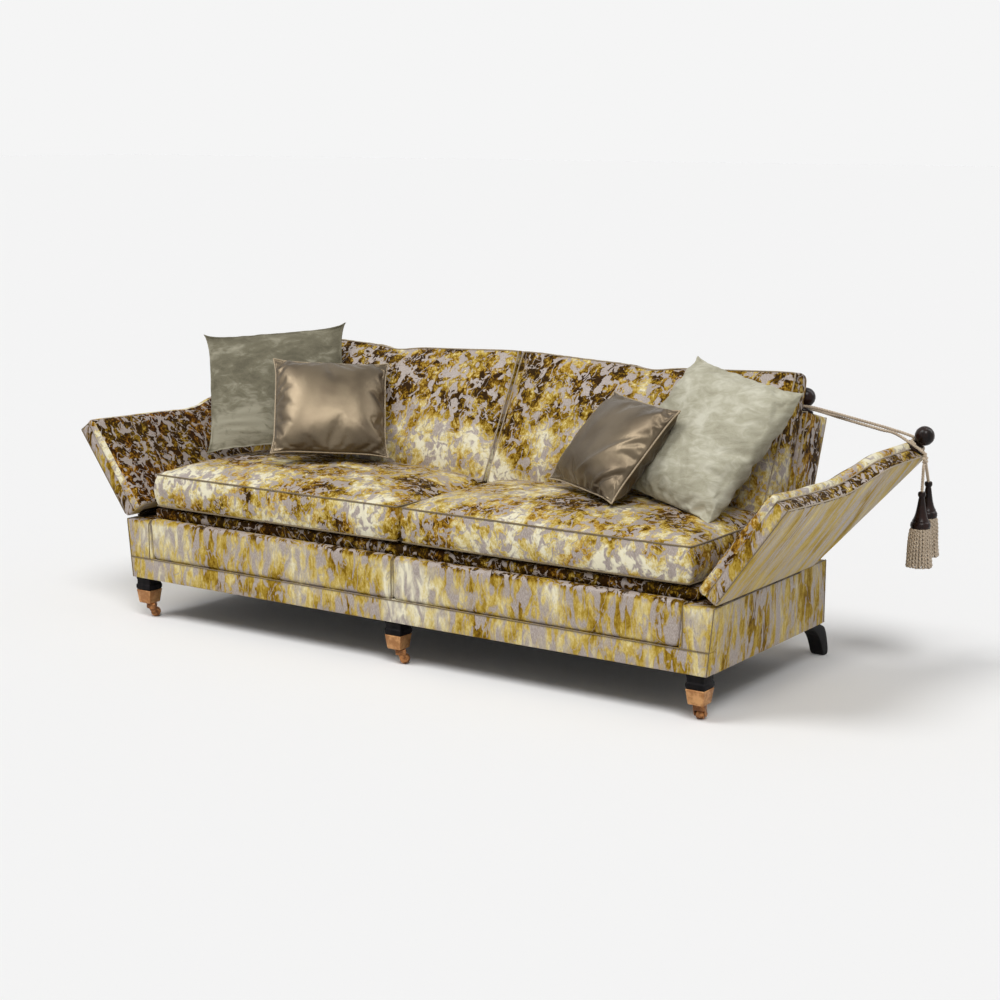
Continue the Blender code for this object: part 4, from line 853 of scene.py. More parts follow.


# The left cushion, and the right one's back, wear the velvet's painted-shade copy.
loose_cushion("left_velvet_cushion", (0.521, 0.473, 0.150), drawn=0.10, ripple=0.05, slack=0.055,
              place=(-0.8304, 0.4479, 0.7593), degrees=(31.3, 31.6, -5.9),
              finishes=(shaded_velvet, shaded_velvet), slot_name="sage_velvet", lines=(
                  (-0.62, -0.30, 8, 0.30, 0.035, 0.006), (-0.55, -0.42, 2, 0.34, 0.035, 0.006),
                  (-0.60, -0.55, -4, 0.32, 0.040, 0.007), (-0.66, -0.16, 14, 0.22, 0.035, 0.005),
                  (-0.50, -0.70, -8, 0.30, 0.035, 0.005), (-0.30, 0.72, 20, 0.25, 0.04, 0.004)))
loose_cushion("right_velvet_cushion", (0.505, 0.510, 0.150), drawn=0.09, ripple=0.05, slack=0.055,
              place=(0.8203, 0.4686, 0.7293), degrees=(-15.6, 39.3, 9.6),
              finishes=(sage_velvet, shaded_velvet), slot_name="sage_velvet", lines=(
                  (0.72, -0.20, 12, 0.22, 0.030, 0.007), (0.70, -0.34, -2, 0.26, 0.030, 0.007),
                  (0.74, -0.05, 20, 0.20, 0.030, 0.006), (0.68, -0.50, -14, 0.24, 0.035, 0.006),
                  (0.30, -0.55, 30, 0.35, 0.040, 0.004), (-0.62, 0.55, -35, 0.25, 0.04, 0.004)))
loose_cushion("left_satin_cushion", (0.403, 0.379, 0.115), drawn=0.09, ripple=0.03, slack=0.04,
              place=(-0.5486, 0.3909, 0.7187), degrees=(43.2, 38.3, 4.0), thread=satin_piping,
              finishes=(satin, front_brocade), slot_name="bronze_satin", lines=(
                  (-0.42, 0.0, 88, 0.70, 0.16, 0.004), (0.46, 0.05, 92, 0.70, 0.15, 0.004),
                  (0.62, -0.62, -42, 0.25, 0.05, 0.003), (0.20, -0.72, 80, 0.20, 0.04, 0.0015)))
loose_cushion("right_satin_cushion", (0.405, 0.358, 0.115), drawn=0.09, ripple=0.04, slack=0.05,
              place=(0.5651, 0.3730, 0.6956), degrees=(-27.9, 40.6, 2.2), thread=satin_piping,
              finishes=(satin, front_brocade), slot_name="bronze_satin", lines=(
                  (0.40, -0.35, 40, 0.45, 0.06, 0.009), (0.55, -0.12, 48, 0.40, 0.05, 0.008),
                  (0.20, -0.58, 34, 0.40, 0.05, 0.008), (0.66, -0.60, 45, 0.25, 0.05, 0.008),
                  (-0.25, 0.10, 80, 0.60, 0.16, 0.006)))

# %% [markdown]
# ## Covered frames
# The arms, the back and the base are boards under padding and cloth. Each is a gridded cube whose
# corners are rounded by their distance from an inner box, and whose faces swell very slightly,
# as wadding does. The same numbered lines of cells then follow the arm's sweep or the back's rake.

# %% A padded board
def spread_lines(values, cells, half, rounding):
    """Moves evenly spaced grid lines so that the first few fall inside the rounding."""
    rim = min(3, cells // 2 - 1)
    inner = np.linspace(-(half - rounding), half - rounding, cells - 2 * rim + 1)
    edge = half - rounding + rounding * np.sin(np.linspace(0, 1, rim + 1)[1:] * np.pi / 2)
    table = np.concatenate([-edge[::-1], inner, edge])
    index = np.rint((values + 1) / 2 * cells).astype(int)
    return table[index]


def padded_board(name, size, cells, rounding, swell=0.0):
    """A board of this size, centred on the origin, its edges rounded and its faces swollen."""
    piece = gridded_cube(name, cells)
    flat = points_of(piece)
    half = np.array(size) / 2
    grown = np.column_stack([spread_lines(flat[:, i], cells[i], half[i], rounding)
                             for i in range(3)])
    core = np.clip(grown, -(half - rounding), half - rounding)
    away = grown - core
    length = np.linalg.norm(away, axis=1, keepdims=True)
    rounded = core + away / np.maximum(length, 1e-9) * rounding
    share = np.clip(np.abs(rounded) / half, 0, 1)
    for axis in range(3):
        others = [i for i in range(3) if i != axis]
        full = np.prod([1 - share[:, i] ** 4 for i in others], axis=0)
        rounded[:, axis] += np.sign(rounded[:, axis]) * swell * full * share[:, axis] ** 8
    move_points(piece, rounded)
    return piece


def arm_top(along, settled):
    """Height of the arm's top edge at a distance from its front: dipped, then swept up."""
    dip = 0.368 - 0.022 * np.sin(np.clip(along / 0.4, 0, 1) * np.pi / 2)
    share = np.clip((along - 0.4) / 0.26, 0, 1)
    top = np.where(along < 0.4, dip, 0.346 + 0.061 * share * share * (3 - 2 * share))
    sunk = np.interp(along, (0, 0.1, 0.2, 0.3, 0.4, 0.46, 0.52, 0.60, 0.66, 0.74, 0.82, 0.9),
                     (0.016, 0.011, 0.008, 0.006, 0.009, 0.020, 0.033, 0.037, 0.037, 0.028,
                      0.012, 0.0))
    return top - settled * sunk

# %% [markdown]
# ## The arms
# Each arm is a flat padded panel that leans out by 36 degrees on its hinge. Its top is low and
# slightly hollow in front and sweeps up to the finial behind, where its rear edge slants. A soft
# pad rolls over its inner edge, and piping runs where the pad and the outer cloth meet the narrow
# band that goes up the front and along the top. The left arm's padding has settled, so its top is
# lower and straighter. It is made on the right and mirrored.

# %% Arms
hinge_x, hinge_z, arm_foot = 1.1153, 0.3433, 0.0053
arm_place = Matrix.Translation((hinge_x, front_y, hinge_z)) @ Matrix.Rotation(arm_slope, 4, "Y")
inner_face, outer_face, pad_width = -0.073, 0.005, 0.036
arm_thickness, arm_length, arm_height = 0.078, 0.76, 0.36


def on_arm(across, length_share, height_share, settled=0):
    """Points of the arm's panel, from shares of its length and height, in the arm's own frame."""
    rear = 0.624 + 0.288 * height_share
    along = length_share * rear
    height = arm_foot + height_share * (arm_top(along, settled) - arm_foot)
    return columns(across, along, height)


def arm_cover(name, settled):
    board = padded_board(name, (arm_thickness, arm_length, arm_height), (18, 80, 44), 0.008, 0.002)
    shape = points_of(board)
    across = shape[:, 0] + (inner_face + outer_face) / 2
    length_share, height_share = shape[:, 1] / arm_length + 0.5, shape[:, 2] / arm_height + 0.5
    into_pad = np.clip((inner_face + pad_width - across) / pad_width, 0, 1)
    round_off = 0.024 * (1 - np.sqrt(np.clip(1 - into_pad ** 2, 0, 1)))
    groove = 0.004 * np.exp(-((across - inner_face - pad_width) / 0.005) ** 2)
    raise_by = 0.006 * np.sin(np.pi * into_pad) - groove - round_off
    bent = on_arm(across, length_share, height_share, settled)
    bent[:, 2] += raise_by * np.clip((height_share - 0.8) / 0.2, 0, 1) ** 2
    bent[:, 1] -= raise_by * np.clip((0.12 - length_share) / 0.12, 0, 1) ** 2
    waves = 0.0016 * np.sin(bent[:, 1] * 31 + 2 * np.sin(bent[:, 2] * 17))
    bent[:, 0] -= waves * np.sin(bent[:, 2] * 23) * into_pad
    move_points(board, bent)
    # Each face wears the brocade copy for the way it faces, so its tone is painted light and shade:
    # the inner face and the top dark, the outer face and the front pale.
    wear_finish(board, arm_outer_brocade, arm_inner_brocade, arm_top_brocade, front_brocade,
                arm_pad_brocade)
    inner, top, front, pad = 1, 2, 3, 4
    for face in board.data.polygons:
        in_pad = across[list(face.vertices)].max() < inner_face + pad_width - 0.002
        if face.normal.x < -0.75:
            face.material_index = inner
        elif in_pad and (face.normal.z > 0.1 or face.normal.y < -0.1):
            face.material_index = pad
        elif face.normal.z > 0.55:
            face.material_index = top
        elif face.normal.y < -0.6:
            face.material_index = front
    return smoothed(placed(board, arm_place), 60)


def arm_seams(settled):
    """The pad's seam and the outer seam: thin and dark up the front, pale along the top."""
    inner_seam, outer_seam = inner_face + pad_width, outer_face - 0.003
    lines = []
    for across, forward in ((inner_seam, 0.0015), (outer_seam, -0.0012)):
        top = on_arm(across, np.linspace(0.004, 0.985, 60), 0.997, settled)
        front = on_arm(across, 0.001, np.linspace(0.03, 0.995, 30), settled)
        lines.append((top + [0, 0, 0.0008], 0.0023, pale_piping))
        lines.append((front + [0, forward, 0], 0.0016, taupe_piping))
    corner = on_arm(np.linspace(inner_seam, outer_seam, 8), 0.003, 0.995, settled)
    lines.append((corner + [0, 0.0005, 0.0005], 0.0018, taupe_piping))
    return lines


for side, settled in (("right", 0), ("left", 1)):
    pieces = [arm_cover("arm_cover_made", settled)]
    for line, radius, finish in arm_seams(settled):
        pieces.append(placed(cord_along("arm_piping_made", line, radius, finish), arm_place))
    for number, piece in enumerate(pieces):
        if side == "left":
            made, piece = piece, other_side(piece, piece.name)
            bpy.data.objects.remove(made)
        if number:
            seated(named(piece, f"{side}_arm_piping_{number}"), side + "_arm", "brocade")
        else:
            named(piece, side + "_arm_cover")
            seated(piece, side + "_arm", "brocade", side + "_arm_upholstery")

# %% [markdown]
# ## The back
# A raked board with a thick pad. The cushions hide its front, so its ends and rear show the
# most: a plain panel each, with piping along the edges.

# %% Back
back_height, back_depth, back_half = 0.445, 0.150, 1.02
base_depth = 0.765
up_slab = np.array([math.sin(back_rake), math.cos(back_rake)])
into_slab = np.array([-math.cos(back_rake), math.sin(back_rake)])
rear_foot = np.array([front_y + base_depth, 0.3383])


def on_slab(across, depth, height_share):
    """Points of the back: depth from its rear face, height from the level line of its foot."""
    foot = -depth * math.tan(back_rake)
    along = foot + height_share * (back_height - 0.10 * depth - foot)
    flat = rear_foot + np.outer(along, up_slab) + np.outer(depth, into_slab)
    return columns(across, flat[:, 0], flat[:, 1])


slab = padded_board("back_cover", (2 * back_half, back_depth, back_height), (60, 10, 24),
                    0.016, 0.003)
across, ahead, up = points_of(slab).T
move_points(slab, on_slab(across, back_depth / 2 - ahead, up / back_height + 0.5))
smoothed(wear_finish(slab, back_end_brocade), 50)
seated(slab, "sofa", "brocade", "back_upholstery")
for name, depth in (("back_rear_piping", 0.003), ("back_front_piping", back_depth - 0.003)):
    end = back_half - 0.003
    rise = np.linspace(0.02, 0.985, 20)
    line = [on_slab(-end, depth, rise), on_slab(np.linspace(-end, end, 60), depth, 0.993),
            on_slab(end, depth, rise[::-1])]
    piped(name, np.concatenate(line), 0.0024, pale_piping)

# %% [markdown]
# ## The base
# The front of the base is a plain band below a piped line, and above it two padded panels that
# meet at a seam in the middle, with a short post at each end that carries the arm.
# The panels' top edge rolls over as a soft lip. Round the ends and the rear one plain panel each
# is stretched, piped at the corners, and the base draws in a little to its foot.
# Behind the lip lies the platform that the seat cushions rest on. It and the ledge along each end
# wear the brocade's painted-shade copy.

# %% Base
base_half, base_taper = 1.12, 0.020
base_low, base_top, band_top, lip_top = 0.139, 0.338, 0.210, 0.348
sides = (("left", -1), ("right", 1))


def drawn_in(piece):
    """Slopes the ends of a base piece: in to the foot in front, in to the top behind."""
    shape = points_of(piece)
    low_share = (base_top - shape[:, 2]) / (base_top - base_low)
    behind = np.clip((shape[:, 1] - front_y) / base_depth, 0, 1)
    slope = base_taper * (low_share * (1 - behind) + behind)
    near_end = np.clip((np.abs(shape[:, 0]) - 0.9) / 0.12, 0, 1)
    shape[:, 0] -= np.sign(shape[:, 0]) * slope * near_end
    move_points(piece, shape)
    return piece


def base_panel(name, x, y, z, cells, rounding, swell, finish, node):
    """A padded panel between these limits along each axis, y from the base's front."""
    low, high = (Vector(corner) for corner in zip(sorted(x), y, z))
    panel = padded_board(name, high - low, cells, rounding, swell)
    placed(panel, Matrix.Translation((low + high) / 2 + Vector((0, front_y, 0))))
    smoothed(wear_finish(drawn_in(panel), finish), 50)
    return seated(panel, "sofa", "brocade", node)


base_panel("front_band", (-base_half, base_half), (0.0, 0.044), (base_low, band_top), (80, 6, 8),
           0.004, 0.001, front_brocade, "front_border")
for word, side in sides:
    base_panel(word + "_front_panel", (side * 0.0008, side * 1.02), (0.0, 0.044),
               (band_top, lip_top), (48, 10, 16), 0.018, 0.0, front_brocade, "front_border")
for word, side in sides:
    base_panel(word + "_front_post", (side * 1.021, side * base_half), (0.0, 0.044),
               (band_top, base_top), (10, 8, 12), 0.004, 0.0, front_brocade, "front_border")
for word, side in sides:
    base_panel(word + "_side_panel", (side * 1.0905, side * base_half), (0.0445, base_depth),
               (base_low, base_top), (6, 60, 16), 0.0015, 0.001, side_brocade,
               word + "_side_border")
    base_panel(word + "_side_ledge", (side * 1.041, side * 1.0895), (0.0445, 0.764),
               (0.330, base_top + 0.001), (6, 50, 4), 0.0015, 0.0, painted_shade_brocade,
               word + "_side_border")
base_panel("rear_panel", (-1.09, 1.09), (0.7352, base_depth), (base_low, base_top), (80, 6, 16),
           0.0015, 0.001, side_brocade, "rear_border")
platform = base_panel("platform_pad", (-1.038, 1.038), (0.050, 0.604), (base_top, 0.3745),
                      (60, 40, 4), 0.010, 0.001, painted_shade_brocade, "seat_deck")

corner_rise = np.linspace(base_low + 0.002, base_top - 0.001, 12)
corner_low_share = (base_top - corner_rise) / (base_top - base_low)
end_depth = np.linspace(0.0, 0.763, 40)
base_lines = {
    "front_band_piping": columns(np.linspace(-1.107, 1.107, 60), -0.0006, band_top),
    "front_middle_seam": np.vstack([columns(0, -0.0005, np.linspace(band_top, 0.335, 12)),
                                    [(0, 0.008, 0.344), (0, 0.022, 0.3485)]]),
}
for word, side in sides:
    post, rear_corner = side * 1.0205, side * (base_half - base_taper)
    base_lines[word + "_post_seam"] = np.vstack([
        columns(post, -0.0005, np.linspace(band_top, 0.330, 12)),
        [(post, 0.008, 0.340), (post, 0.024, 0.343)]])
    base_lines[word + "_corner_piping"] = columns(
        side * (base_half - 0.001 - base_taper * corner_low_share), 0.0, corner_rise)
    base_lines[word + "_top_piping"] = columns(
        side * (base_half - 0.0005 - base_taper * end_depth / base_depth), end_depth,
        base_top + 0.0004)
    base_lines[word + "_rear_corner_piping"] = columns(rear_corner, 0.764, corner_rise)
for name, line in base_lines.items():
    piped(name, line + [0, front_y, 0], 0.0018, taupe_piping)

# %% [markdown]
# ## Turned wood
# On a lathe, a finial is a profile spun round its axis. The same profile is made here by
# extruding one ring of points upwards step by step and scaling it to each radius.

# %% A piece from the lathe
def turned(name, profile, finish, steps=36):
    """Turns (radius, height) pairs, from the bottom to the top."""
    piece = fresh(name, bpy.ops.mesh.primitive_circle_add, vertices=steps, radius=profile[0][0])
    merged(drawn_up(piece, profile), 0.0002)
    return smoothed(wear_finish(piece, finish), 35)


def ball_profile(radius, centre, start, end, steps):
    """Half a circle of (radius, height) pairs, from one angle above the middle to another."""
    angles = np.linspace(math.radians(start), math.radians(end), steps)
    return [(max(radius * math.cos(a), 0.0001), centre + radius * math.sin(a)) for a in angles]

# %% [markdown]
# ## Finials
# A ball on a short waisted neck and a flat flange, at the rear of each arm and at the back's two
# top corners. A fine groove is cut round the ball. Those on the right are turned, and mirrored to
# the left.

# %% Finials
flange_and_neck = [(0.0001, 0.0), (0.0292, 0.0), (0.0308, 0.0012), (0.0310, 0.0035),
                   (0.0302, 0.0062), (0.0280, 0.0078), (0.0236, 0.0082), (0.0224, 0.0094),
                   (0.0178, 0.0112), (0.0146, 0.0136), (0.0128, 0.0166), (0.0126, 0.0192)]
ball = ball_profile(0.030, 0.049, -64, 90, 26)
groove_radius, groove_height = ball[9]
ball[9] = (groove_radius - 0.0006, groove_height)
finial_x, finial_y = -0.034, 0.881
arm_finial_place = arm_place @ Matrix.Translation((finial_x, finial_y, 0.4073))
back_finial_place = (Matrix.Translation((0.987, front_y + 0.8073, 0.7817))
                     @ Matrix.Rotation(-back_rake, 4, "X"))
for where, place, body in (("arm", arm_finial_place, "right_arm"),
                           ("back", back_finial_place, "sofa")):
    knob = turned(f"right_{where}_finial_turned", flange_and_neck + ball, dark_wood)
    seated_twice(placed(knob, place), body, "dark_wood", f"right_{where}_finial")

# %% [markdown]
# ## Twisted cord
# A two-ply cord is two strands wound round each other. Points are spaced evenly along its route,
# each gets a frame that turns as little as possible, and every strand circles in that frame.

# %% Twisted cord
def even_points(route, spacing):
    """Points at an even spacing on a smooth curve through the route, and the curve's length."""
    route = np.array(route, float)
    padded = np.vstack([2 * route[0] - route[1], route, 2 * route[-1] - route[-2]])
    fine = []
    for i in range(len(route) - 1):
        a, b, c, d = padded[i:i + 4]
        t = np.linspace(0, 1, 20, endpoint=False)[:, None]
        fine.append(0.5 * (2 * b + (c - a) * t + (2 * a - 5 * b + 4 * c - d) * t ** 2
                           + (3 * b - a - 3 * c + d) * t ** 3))
    fine = np.vstack([*fine, route[-1:]])
    along = np.concatenate([[0], np.cumsum(np.linalg.norm(np.diff(fine, axis=0), axis=1))])
    wanted = np.linspace(0, along[-1], max(3, int(along[-1] / spacing) + 1))
    return np.column_stack([np.interp(wanted, along, fine[:, i]) for i in range(3)]), along[-1]


def twisted_cord(name, route, radius, pitch=0.016):
    """A two-ply cord along a route. pitch: the length of one turn of the twist."""
    middle, length = even_points(route, pitch / 9)
    ahead = np.gradient(middle, axis=0)
    ahead /= np.linalg.norm(ahead, axis=1, keepdims=True)
    across = np.cross(ahead[0], [0.3, 0.2, 0.93])
    frames = []
    for direction in ahead:
        across = across - direction * across.dot(direction)
        across /= np.linalg.norm(across)
        frames.append((across, np.cross(direction, across)))
    first, second = (np.array([f[i] for f in frames]) for i in range(2))
    turn = np.linspace(0, length / pitch * 2 * np.pi, len(middle))[:, None]
    strands = []
    for phase in (0, np.pi):
        offset = first * np.cos(turn + phase) + second * np.sin(turn + phase)
        strands.append(cord_along(f"{name}_{len(strands)}", middle + offset * radius * 0.46,
                                  radius * 0.56, rope_thread))
    return joined(strands, name)

# %% [markdown]
# ## Tie cords and knots
# One doubled cord holds each arm up: it leaves the arm finial's neck, loops round the back
# finial's and comes home below itself, over the flange of the arm's finial, to the knot.

# %% Tie cords
cord_radius, neck_radius = 0.0050, 0.015625
arm_neck = arm_place @ Vector((finial_x, finial_y, 0.4235))
back_neck = back_finial_place @ Vector((0, 0, 0.0162))
arm_up = (arm_place.to_3x3() @ Vector((0, 0, 1))).normalized()
back_up = (back_finial_place.to_3x3() @ Vector((0, 0, 1))).normalized()
reach = back_neck - arm_neck
level = (reach - arm_up * reach.dot(arm_up)).normalized()
sideways = reach.cross(back_up).normalized()
forward = back_up.cross(sideways).normalized()
stacked = sideways.cross(reach).normalized()
stacked = stacked if stacked.z > 0 else -stacked
loop, apart = neck_radius + cord_radius + 0.0003, cord_radius * 1.08
start = arm_neck + level * (loop + cord_radius * 2) + arm_up * cord_radius
turning_point = back_neck - forward * (0.031 + cord_radius)


def half_cord(shares, way):
    """One half between the finials: way -1 starts above and ends to one side, 1 the reverse."""
    return [start.lerp(turning_point, share)
            + way * (sideways * loop * 0.9 * share ** 4 - stacked * apart * (1 - share ** 4))
            for share in shares]


out_to_back = [arm_neck + level * loop * 0.8 + arm_up * cord_radius, start + stacked * apart * 0.4,
               *half_cord((0.25, 0.5, 0.75, 1.0), -1)]
bend = [back_neck + (-sideways * math.cos(a) + forward * math.sin(a)) * loop
        for a in np.linspace(0, math.pi, 9)]
home = half_cord((1.0, 0.75, 0.5, 0.3, 0.14), 1)
over_flange = [arm_place @ Vector(p) for p in ((-0.002, 0.8575, 0.4232), (0.009, 0.8585, 0.4195),
                                               (0.0165, 0.8605, 0.412))]
cords = {"right": twisted_cord("right_tie_cord_twist", out_to_back + bend + home + over_flange,
                               cord_radius)}
cords["left"] = other_side(cords["right"], "left_tie_cord_twist")
for word, side in sides:
    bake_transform(cords[word])
    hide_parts(word + "_tie_cord")

# %% [markdown]
# The knot is a loop of cord round the finial's neck and a round knot beside it. A trefoil, the
# simplest closed knot, wound in cord of nearly the same size, reads as one.

# %% Knots
knot_middle = arm_place @ Vector((0.018, 0.861, 0.407))
neck_ring = []
for a in np.linspace(0.6, 2 * math.pi * 1.75, 34):
    height = 0.4192 + 0.0045 * (a / (2 * math.pi) - 0.8)
    neck_ring.append(arm_place @ Vector((finial_x + loop * math.cos(a),
                                         finial_y + loop * math.sin(a), height)))
trefoil = []
for a in np.linspace(0, 2 * math.pi, 60):
    spot = Vector((-0.0042 * math.sin(3 * a), 0.0031 * (math.sin(a) + 2 * math.sin(2 * a)),
                   0.0031 * (math.cos(a) - 2 * math.cos(2 * a))))
    trefoil.append(knot_middle + spot)
right_knot = joined([twisted_cord("ring", neck_ring, cord_radius),
                     twisted_cord("lump", trefoil, 0.0040, pitch=0.012)], "right_knot_tied")
seated_twice(right_knot, "right_arm", "rope", "right_knot")

# %% [markdown]
# ## Tassels
# A turned wooden head hides the top of a skirt of heavy twisted cords. One cord is made from a
# thin cylinder whose section is pinched to two lobes and turned as it goes down, then copied round
# the skirt. The strand, head and skirt hang from the knot and stay plumb as the arm moves.

# %% Tassels
head_shares = ((0.01, 0.02), (0.80, 0.0), (0.92, 0.0), (0.985, 0.04), (1.0, 0.085), (0.975, 0.13),
               (0.90, 0.165), (0.82, 0.185), (0.835, 0.205), (0.80, 0.225), (0.72, 0.26),
               (0.61, 0.34), (0.50, 0.46), (0.41, 0.60), (0.345, 0.73), (0.29, 0.815),
               (0.27, 0.838), (0.30, 0.856), (0.365, 0.882), (0.388, 0.915), (0.38, 0.955),
               (0.34, 0.985), (0.26, 1.0), (0.17, 0.995), (0.01, 0.97))
head_length, head_radius, skirt_length = 0.112, 0.031, 0.120
strand_radius, strand_pitch = 0.0050, 0.012


def skirt_cord():
    """One hanging cord of the skirt, from the origin down."""
    cord = fresh("skirt_cord", bpy.ops.mesh.primitive_cylinder_add, vertices=10, radius=1, depth=2)
    divided(cord, 2, 40)
    shape = points_of(cord)
    around = np.arctan2(shape[:, 1], shape[:, 0])
    down = (1 - shape[:, 2]) / 2
    lobes = strand_radius * (0.52 + 0.48 * np.abs(np.cos(around)))
    radius = lobes * np.hypot(shape[:, 0], shape[:, 1])
    turn = around + down * skirt_length / strand_pitch * np.pi
    move_points(cord, columns(radius * np.cos(turn), radius * np.sin(turn), -down * skirt_length))
    return cord


def hanging_skirt():
    """Two rings of cords, each a copy that is turned and bent a little differently."""
    rng = np.random.default_rng(7)
    first = skirt_cord()
    shape = points_of(first)
    down = -shape[:, 2] / skirt_length
    cords = []
    for ring, (count, top, foot) in enumerate(((23, 0.0258, 0.0368), (13, 0.0170, 0.0270))):
        for i in range(count):
            angle = 2 * math.pi * (i + 0.5 * ring + rng.uniform(-0.12, 0.12)) / count
            out = top + (foot - top) * (0.25 * down + 0.75 * np.sqrt(down))
            out += 0.0012 * np.sin(down * 5 + i)
            spin = rng.uniform(0, 6.28)
            x = shape[:, 0] * math.cos(spin) - shape[:, 1] * math.sin(spin)
            y = shape[:, 0] * math.sin(spin) + shape[:, 1] * math.cos(spin)
            length = 1 + rng.uniform(-0.02, 0.0)
            cords.append(copied(first, "skirt_cord"))
            move_points(cords[-1], columns(x + math.cos(angle) * out, y + math.sin(angle) * out,
                                           shape[:, 2] * length))
    bpy.data.objects.remove(first)
    skirt = joined(cords, "tassel_skirt")
    bpy.ops.object.shade_smooth()
    return wear_finish(skirt, rope_thread)


tassel_head = turned("tassel_head", [(r * head_radius, z * head_length) for r, z in head_shares],
                     dark_wood)
tassel_skirt = hanging_skirt()
for word, splay, drop in (("front", -0.5, Vector((-0.006, 0.0, -0.097))),
                          ("rear", 0.5, Vector((-0.016, 0.075, -0.077)))):
    name = f"right_{word}_tassel"
    foot = knot_middle + drop - Vector((0, 0, head_length))
    head = placed(copied(tassel_head, name + "_head_turned"), Matrix.Translation(foot))
    skirt = placed(copied(tassel_skirt, name + "_skirt_cords"),
                   Matrix.Translation(foot - Vector((0, 0, 0.0003))))
    first = Vector((0, splay, -1)).normalized() * 0.0123
    neck = drop + Vector((0, 0, -0.004))
    route = [knot_middle + p for p in (first, first * 2, (first * 2).lerp(neck, 0.5), neck)]
    skirt = joined([skirt, twisted_cord("strand", route, cord_radius)], name + "_skirt_cords")
    seated_twice(head, name, "dark_wood", name + "_head")
    seated_twice(skirt, name, "rope", name + "_skirt")
bpy.data.objects.remove(tassel_head)
bpy.data.objects.remove(tassel_skirt)
print("tassels: 4, cords in each skirt: 36")

# %% [markdown]
# ## Feet
# The front feet are square ebonised collars with a stepped moulding over tapered copper cups. Each
# is drawn upwards from a square by extruding and scaling it, then its edges are bevelled.

# %% Front feet
def square_post(name, levels, finish, edge):
    """A square post through (size, height) levels, from the bottom up, with rounded edges."""
    piece = fresh(name, bpy.ops.mesh.primitive_plane_add, size=levels[0][0])
    merged(drawn_up(piece, levels), 0.0001)
    return smoothed(wear_finish(bevelled(piece, edge, 3, 25), finish))


front_feet = (("left", -1.061), ("centre", 0.0), ("right", 1.061))
foot_inset, foot_top = 0.035, 0.1387
collar_levels = ((0.0560, 0.0957), (0.0585, 0.0985), (0.0620, 0.1030), (0.0620, 0.1120),
                 (0.0590, 0.1150), (0.0560, 0.1175), (0.0560, 0.1300), (0.0590, 0.1335),
                 (0.0600, foot_top))
cup_levels = ((0.0455, 0.0500), (0.0495, 0.0520), (0.0505, 0.0560), (0.0590, 0.0905),
              (0.0606, 0.0920), (0.0606, 0.0957))
for word, x in front_feet:
    place = Matrix.Translation((x, front_y + foot_inset, 0))
    collar = square_post(word + "_collar", collar_levels, ebony, 0.0011)
    seated(placed(collar, place), "sofa", "ebonised", word + "_front_foot")
    cup = square_post(word + "_cup", cup_levels, copper, 0.0020)
    seated(placed(cup, place), "sofa", "copper", word + "_foot_cup")

# %% [markdown]
# A castor is a broad hood with two legs round a barrel-shaped wheel. It is made with its stem at
# the origin and its wheel trailing along Y, then turned to the way that castor happens to stand.
# A rear foot is a square block that sweeps back as it goes down: rows of cells follow the curve.

# %% Castors and rear feet
wheel_height = 0.01675
half_wheel = [(0.0164, -0.0050), (0.0152, -0.0095), (0.0130, -0.0118), (0.0095, -0.0125),
              (0.0001, -0.0125)]
wheel_profile = [*half_wheel[::-1], (wheel_height, 0.0), *((r, -z) for r, z in half_wheel)]


def castor_hood(name, trail):
    """The plate and hood over the wheel, its two legs and the axle."""
    hood = padded_board(name, (0.036, 0.034, 0.019), (8, 8, 8), 0.0055)
    parts = [placed(hood, Matrix.Translation((0, trail * 0.35, 0.0395)))]
    for side in (-1, 1):
        leg = gridded_cube("leg", (1, 4, 12))
        flat = points_of(leg)
        down = (1 - flat[:, 2]) / 2
        middle = trail * (0.35 + 0.65 * down ** 1.3)
        round_end = np.sqrt(np.clip(1 - np.clip((down - 0.8) / 0.22, 0, 1) ** 2, 0, 1))
        half = (0.014 - 0.0065 * down) * round_end
        move_points(leg, columns(side * 0.0160 + flat[:, 0] * 0.0016, middle + flat[:, 1] * half,
                                 0.042 - down * 0.0335))
        parts.append(bevelled(leg, 0.0006, 2, 50))
    for radius, length, turn, spot in ((0.0032, 0.038, 90, (0, trail, wheel_height)),
                                       (0.0150, 0.004, 0, (0, 0, 0.0482))):
        pin = fresh("pin", bpy.ops.mesh.primitive_cylinder_add, vertices=24, radius=radius,
                    depth=length)
        stands = Matrix.Translation(spot) @ Matrix.Rotation(math.radians(turn), 4, "Y")
        parts.append(placed(bevelled(pin, 0.0008, 2, 50), stands))
    return smoothed(wear_finish(joined(parts, name), castor_metal))


for word, x in front_feet:
    low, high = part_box(word + "_castor_wheel")
    stem = Vector((x, front_y + foot_inset, 0))
    away = (low + high) / 2 - stem
    trail = math.hypot(away.x, away.y)
    heading = Matrix.Rotation(math.atan2(away.y, away.x) - math.pi / 2, 4, "Z")
    stands = Matrix.Translation(stem) @ heading
    hood = placed(castor_hood(word + "_castor_hood", trail), stands)
    seated(hood, word + "_castor", "old_brass", word + "_castor_horn")
    wheel = turned(word + "_castor_barrel", wheel_profile, castor_metal, 40)
    on_axle = Matrix.Translation((0, trail, wheel_height)) @ Matrix.Rotation(math.pi / 2, 4, "Y")
    seated(placed(wheel, stands @ on_axle), word + "_wheel", "old_brass", word + "_castor_wheel")

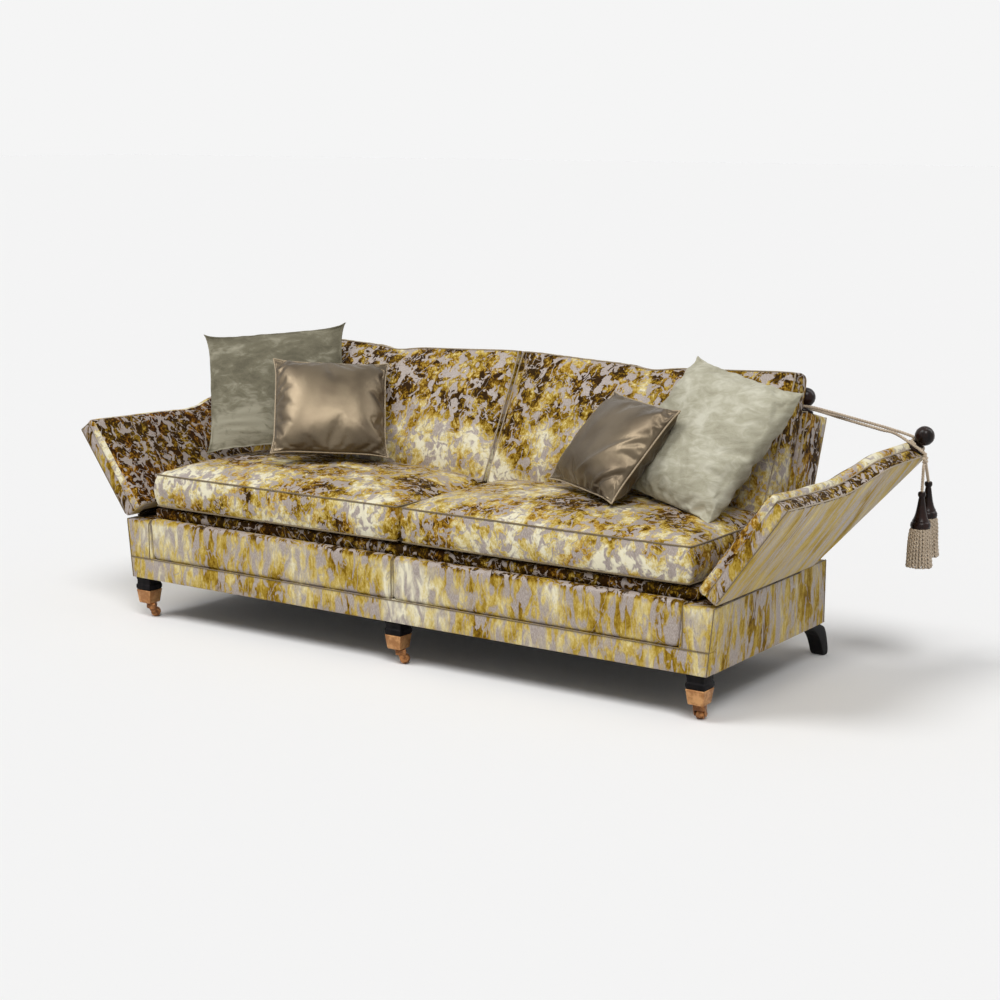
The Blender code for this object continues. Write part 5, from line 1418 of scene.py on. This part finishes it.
sweep = np.array([(0.0, 0.886, 0.899), (0.004, 0.877, 0.906), (0.015, 0.868, 0.908),
                  (0.035, 0.859, 0.904), (0.055, 0.847, 0.898), (0.075, 0.831, 0.890),
                  (0.095, 0.806, 0.877), (0.110, 0.772, 0.845), (0.124, 0.728, 0.800),
                  (foot_top, 0.690, 0.765)])
for word in ("left", "centre", "right"):
    low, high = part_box(word + "_rear_foot")
    foot = gridded_cube(word + "_rear_foot_swept", (2, 3, 30))
    flat = points_of(foot)
    height = foot_top * (flat[:, 2] + 1) / 2
    front_edge, rear_edge = (np.interp(height, sweep[:, 0], sweep[:, i]) for i in (1, 2))
    along = front_y + (front_edge + rear_edge) / 2 + flat[:, 1] * (rear_edge - front_edge) / 2
    move_points(foot, columns((low.x + high.x) / 2 + flat[:, 0] * 0.0225, along, height))
    smoothed(wear_finish(bevelled(foot, 0.0022, 3, 40), ebony))
    seated(foot, "sofa", "ebonised", word + "_rear_foot")
print("feet: three in front on castors, three behind")

# %% [markdown]
# ## Floor and light
# A wide pale floor meets a world that the camera sees in the same pale grey. The light is that of
# a soft studio: an even world, and a large soft sun high on either side. Two long lamps overhead,
# which only glossy surfaces see, give the satin its two bright bands and the wood and metal a
# highlight.

# %% Floor and light
floor = fresh("floor", bpy.ops.mesh.primitive_plane_add, size=160)
paper, shader, _ = new_finish("paper_floor")
dress_shader(shader, Base_Color=(0.875, 0.875, 0.875, 1), Roughness=0.9, Specular_IOR_Level=0.0)
wear_finish(floor, paper)

world = bpy.data.worlds.new("studio")
scene.world = world
world.use_nodes = True
tree = world.node_tree
tree.nodes.clear()
seen = add(tree, "Background", {"Color": (0.913, 0.913, 0.913, 1), "Strength": 1.0})
soft = add(tree, "Background", {"Color": (1.0, 1.0, 1.0, 1), "Strength": 0.322})
path = add(tree, "LightPath").outputs
either = maths("MAXIMUM", path["Is Glossy Ray"], path["Is Transmission Ray"])
either = maths("MAXIMUM", path["Is Camera Ray"], either)
mix = add(tree, "MixShader", {0: either, 1: soft.outputs[0], 2: seen.outputs[0]})
add(tree, "OutputWorld", {0: mix.outputs[0]})

for name, sun_from, energy in (("left_sun", (-0.30, -0.42, 0.86), 1.30),
                               ("right_sun", (0.40, -0.44, 0.80), 1.40)):
    turn = Vector(sun_from).to_track_quat("Z", "Y")
    bpy.ops.object.light_add(type="SUN", rotation=turn.to_euler())
    sun = bpy.context.object
    sun.name = name
    sun.data.energy = energy
    sun.data.angle = math.radians(26)
for name, where, energy in (("front_lamp", (-1.55, -2.33, 3.35), 26),
                            ("rear_lamp", (2.04, 1.41, 2.70), 28)):
    turn = (Vector((-0.3, 0, 0.6)) - Vector(where)).to_track_quat("-Z", "Y")
    bpy.ops.object.light_add(type="AREA", location=where, rotation=turn.to_euler())
    lamp = bpy.context.object
    lamp.name = name
    lamp.data.shape = "RECTANGLE"
    lamp.data.size, lamp.data.size_y = 0.75, 2.8
    lamp.data.energy = energy
    lamp.visible_diffuse = False
